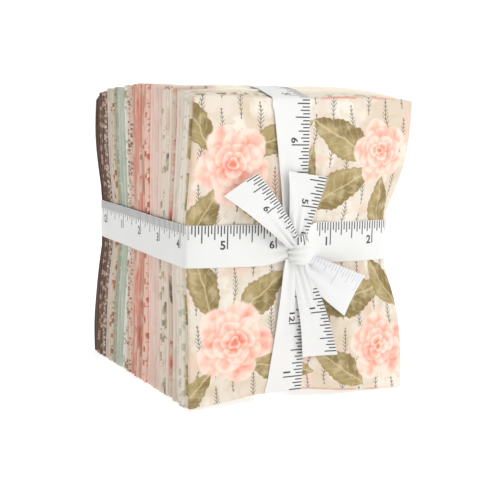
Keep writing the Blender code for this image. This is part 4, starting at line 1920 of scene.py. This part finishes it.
    def knot(self) -> Strip:
        """The knot: tape wrapped tightly over the crossing, gathered on the left and wider on the right.

        Returns:
            The wrapped turn that shows.
        """
        back_y = self.front_at(self.knot_x, self.knot_z) - 0.5 * MM
        middle_x = self.knot_x + self.knot_shift + self.stack.shift.x
        stations = []
        steps = 22
        for k in range(steps + 1):
            t = k / steps
            angle = math.radians(190 + (350 - 190) * t)
            normal = Vector((math.cos(angle), math.sin(angle), 0))
            across = middle_x + self.knot_across * math.cos(angle)
            height = self.knot_z + blend(-1.8, -0.5, -0.2, t) * MM
            place = Vector((across, back_y + self.knot_deep * math.sin(angle), height))
            half = blend(4.8, 7.1, 7.5, t) * MM
            stations.append(Station(place, Vector((0, 0, 1)), normal, half, 0.55 * MM, -0.9 * MM))
        return Strip(
            "tied_tape_knot", "tape_knot", stations, held="folded", first_reading=5.9, folds=4, across=24,
            unmarked=4.4 * MM,
        )

    def free_end(self, end: FreeEnd) -> Strip:
        """One free end: it widens from the knot to its cut and stands a little off the cloth.

        Args:
            end: its shape.

        Returns:
            The end.
        """
        angle = math.radians(end.root_angle)
        leave = Vector((math.cos(angle), math.sin(angle)))
        root = Vector((self.knot_x, self.knot_z)) + leave * self.root_reach
        if end.root:
            root = Vector(end.root) * MM
        near, far = Vector(end.near) * MM, Vector(end.far) * MM
        cut = (near + far) / 2
        side = Vector((-leave.y, leave.x))
        if side.dot(near - far) < 0:
            side.negate()
        bow = root + leave * (cut - root).length * 0.5
        steps = 26
        stations = []
        for k in range(steps + 1):
            t = k / steps
            middle = root * (1 - t) ** 2 + bow * 2 * t * (1 - t) + cut * t**2
            opening = t**end.opening
            half = side * self.root_half * (1 - opening) + (near - far) / 2 * opening
            lift = blend(*end.lifts, t) * MM
            y = self.front_at(middle.x, middle.y) - lift
            centre = Vector((middle.x + self.stack.shift.x, y, middle.y))
            up = Vector((half.x, 0, half.y)).normalized()
            deepest, smooth_from, fall = (1.3, 0.85, 1.1) if end.reverse else (0.95, 0.8, 1.5)
            gather = deepest * max(1 - t / smooth_from, 0) ** fall
            stations.append(Station(centre, up, Vector((0, -1, 0)), half.length, gather * MM, 0.8 * MM * t))
        if end.inward:
            stations.reverse()
        for k, station in enumerate(stations):
            before = stations[max(k - 1, 0)].centre
            after = stations[min(k + 1, steps)].centre
            along = (after - before).normalized()
            if station.normal.cross(along).dot(station.up) < 0:
                station.up.negate()
            station.normal = along.cross(station.up).normalized()
            if station.normal.y > 0:
                station.normal.negate()
        return Strip(
            "tied_" + end.name, end.name, stations, slot="tape_reverse" if end.reverse else "tape_white",
            held="laid", first_reading=end.reading, folds=2 if end.reverse else 3, valley=end.reverse,
            unmarked=end.unmarked * MM,
        )


# The studio


@dataclass(frozen=True)
class Studio:
    """A pale floor, soft lights, and the camera of the photograph.

    The air is the light from all round, full behind the stack and weaker at its sides.
    """

    camera_place: Vector = Vector((-251.0, -498.0, 137.5)) * MM
    yaw: float = 27.2
    pitch: float = 7.74
    roll: float = 1.32
    focal_pixels: float = 1100.0
    picture: float = 500.0
    sensor: float = 36.0
    key_power: float = 7.4
    top_power: float = 1.05
    air_side: float = 0.36
    air_full: float = 1.05
    floor_glow: float = 0.62

    def build(self, stack: Stack) -> None:
        """Set up the floor, the lights, the sky and the camera.

        Args:
            stack: the stack, for where its middle stands.
        """
        self.add_floor()
        self.add_light("key", Vector((0.7, -1.1, 0.9)), 0.9, self.key_power)
        self.add_sun()
        self.add_air()
        self.add_camera(stack)
        bpy.context.scene.view_settings.view_transform = "Standard"

    def add_air(self) -> None:
        """White light from all round, fullest behind the stack and near the horizon."""
        world = bpy.data.worlds.new("studio air")
        world.use_nodes = True
        tree = world.node_tree
        way = tree.nodes.new("ShaderNodeTexCoord").outputs["Generated"]
        towards = tree.nodes.new("ShaderNodeVectorMath")
        towards.operation = "DOT_PRODUCT"
        yaw = math.radians(self.yaw)
        towards.inputs[1].default_value = (math.sin(yaw), math.cos(yaw), 0)
        tree.links.new(way, towards.inputs[0])
        split = tree.nodes.new("ShaderNodeSeparateXYZ")
        tree.links.new(way, split.inputs[0])
        behind = self.ramp(tree, towards.outputs["Value"], (0.1, 0.8), (self.air_side, self.air_full))
        horizon = self.ramp(tree, split.outputs["Z"], (0.06, 0.22), (self.air_full, 0.0))
        sky = tree.nodes["Background"]
        sky.inputs["Color"].default_value = (1, 1, 1, 1)
        tree.links.new(behind.through("MAXIMUM", horizon).socket, sky.inputs["Strength"])
        bpy.context.scene.world = world

    def ramp(
        self, tree: bpy.types.NodeTree, value: bpy.types.NodeSocket, span: tuple[float, float],
        ends: tuple[float, float],
    ) -> Signal:
        """A smooth change from one number to another.

        Args:
            tree: the nodes.
            value: what it changes with.
            span: where the change starts and stops.
            ends: the numbers at its start and stop.

        Returns:
            The changing number.
        """
        node = tree.nodes.new("ShaderNodeMapRange")
        node.interpolation_type = "SMOOTHSTEP"
        for name, number in zip(("From Min", "From Max", "To Min", "To Max"), span + ends):
            node.inputs[name].default_value = number
        tree.links.new(value, node.inputs["Value"])
        return Signal(tree, node.outputs["Result"])

    def add_floor(self) -> None:
        """A wide, pale, level sheet that glows a little, so that it shows no edge."""
        bpy.ops.object.select_all(action="DESELECT")
        bpy.ops.mesh.primitive_plane_add(size=12)
        floor = bpy.context.object
        floor.name = "floor"
        material, _, shader = new_material("floor_paper", 0.95)
        shader.inputs["Base Color"].default_value = linear((215, 215, 215))
        shader.inputs["Emission Color"].default_value = (1, 1, 1, 1)
        shader.inputs["Emission Strength"].default_value = self.floor_glow
        floor.data.materials.append(material)

    def add_sun(self) -> None:
        """A weak, very wide light from above, which falls evenly on the whole floor."""
        data = bpy.data.lights.new("top", "SUN")
        data.energy = self.top_power
        data.angle = math.radians(100)
        light = bpy.data.objects.new("top", data)
        light.rotation_euler = (math.radians(12), math.radians(8), 0)
        bpy.context.scene.collection.objects.link(light)

    def add_light(self, name: str, place: Vector, size: float, power: float) -> None:
        """A square soft light that faces the stack.

        Args:
            name: its name.
            place: where it hangs.
            size: its side, in metres.
            power: in watts.
        """
        data = bpy.data.lights.new(name, "AREA")
        data.size = size
        data.energy = power
        light = bpy.data.objects.new(name, data)
        light.location = place
        light.rotation_euler = (Vector((0, 0, 0.07)) - place).to_track_quat("-Z", "Y").to_euler()
        bpy.context.scene.collection.objects.link(light)

    def add_camera(self, stack: Stack) -> None:
        """The camera at the photograph's angle to the stack.

        Args:
            stack: the stack, for where its middle stands.
        """
        yaw, pitch, roll = (math.radians(a) for a in (self.yaw, self.pitch, self.roll))
        ahead = Vector((math.sin(yaw) * math.cos(pitch), math.cos(yaw) * math.cos(pitch), -math.sin(pitch)))
        level = Vector((ahead.y, -ahead.x, 0)).normalized()
        above = level.cross(ahead)
        right = level * math.cos(roll) + above * math.sin(roll)
        up = above * math.cos(roll) - level * math.sin(roll)
        data = bpy.data.cameras.new("camera")
        data.sensor_width = self.sensor
        data.lens = self.focal_pixels / self.picture * self.sensor
        camera = bpy.data.objects.new("camera", data)
        turn = Matrix((right, up, -ahead)).transposed().to_4x4()
        camera.matrix_world = Matrix.Translation(self.camera_place + stack.shift) @ turn
        bpy.context.scene.collection.objects.link(camera)
        bpy.context.scene.camera = camera


def main() -> None:
    """Build the studio, fold the quarters, tie them and note the sizes."""
    stack = Stack.from_frame()
    Studio().build(stack)
    quarters = build_quarters(stack)
    Tape(stack, quarters).build()
    LOG.info("dressed %d quarters", len(quarters))


if __name__ == "__main__":
    main()
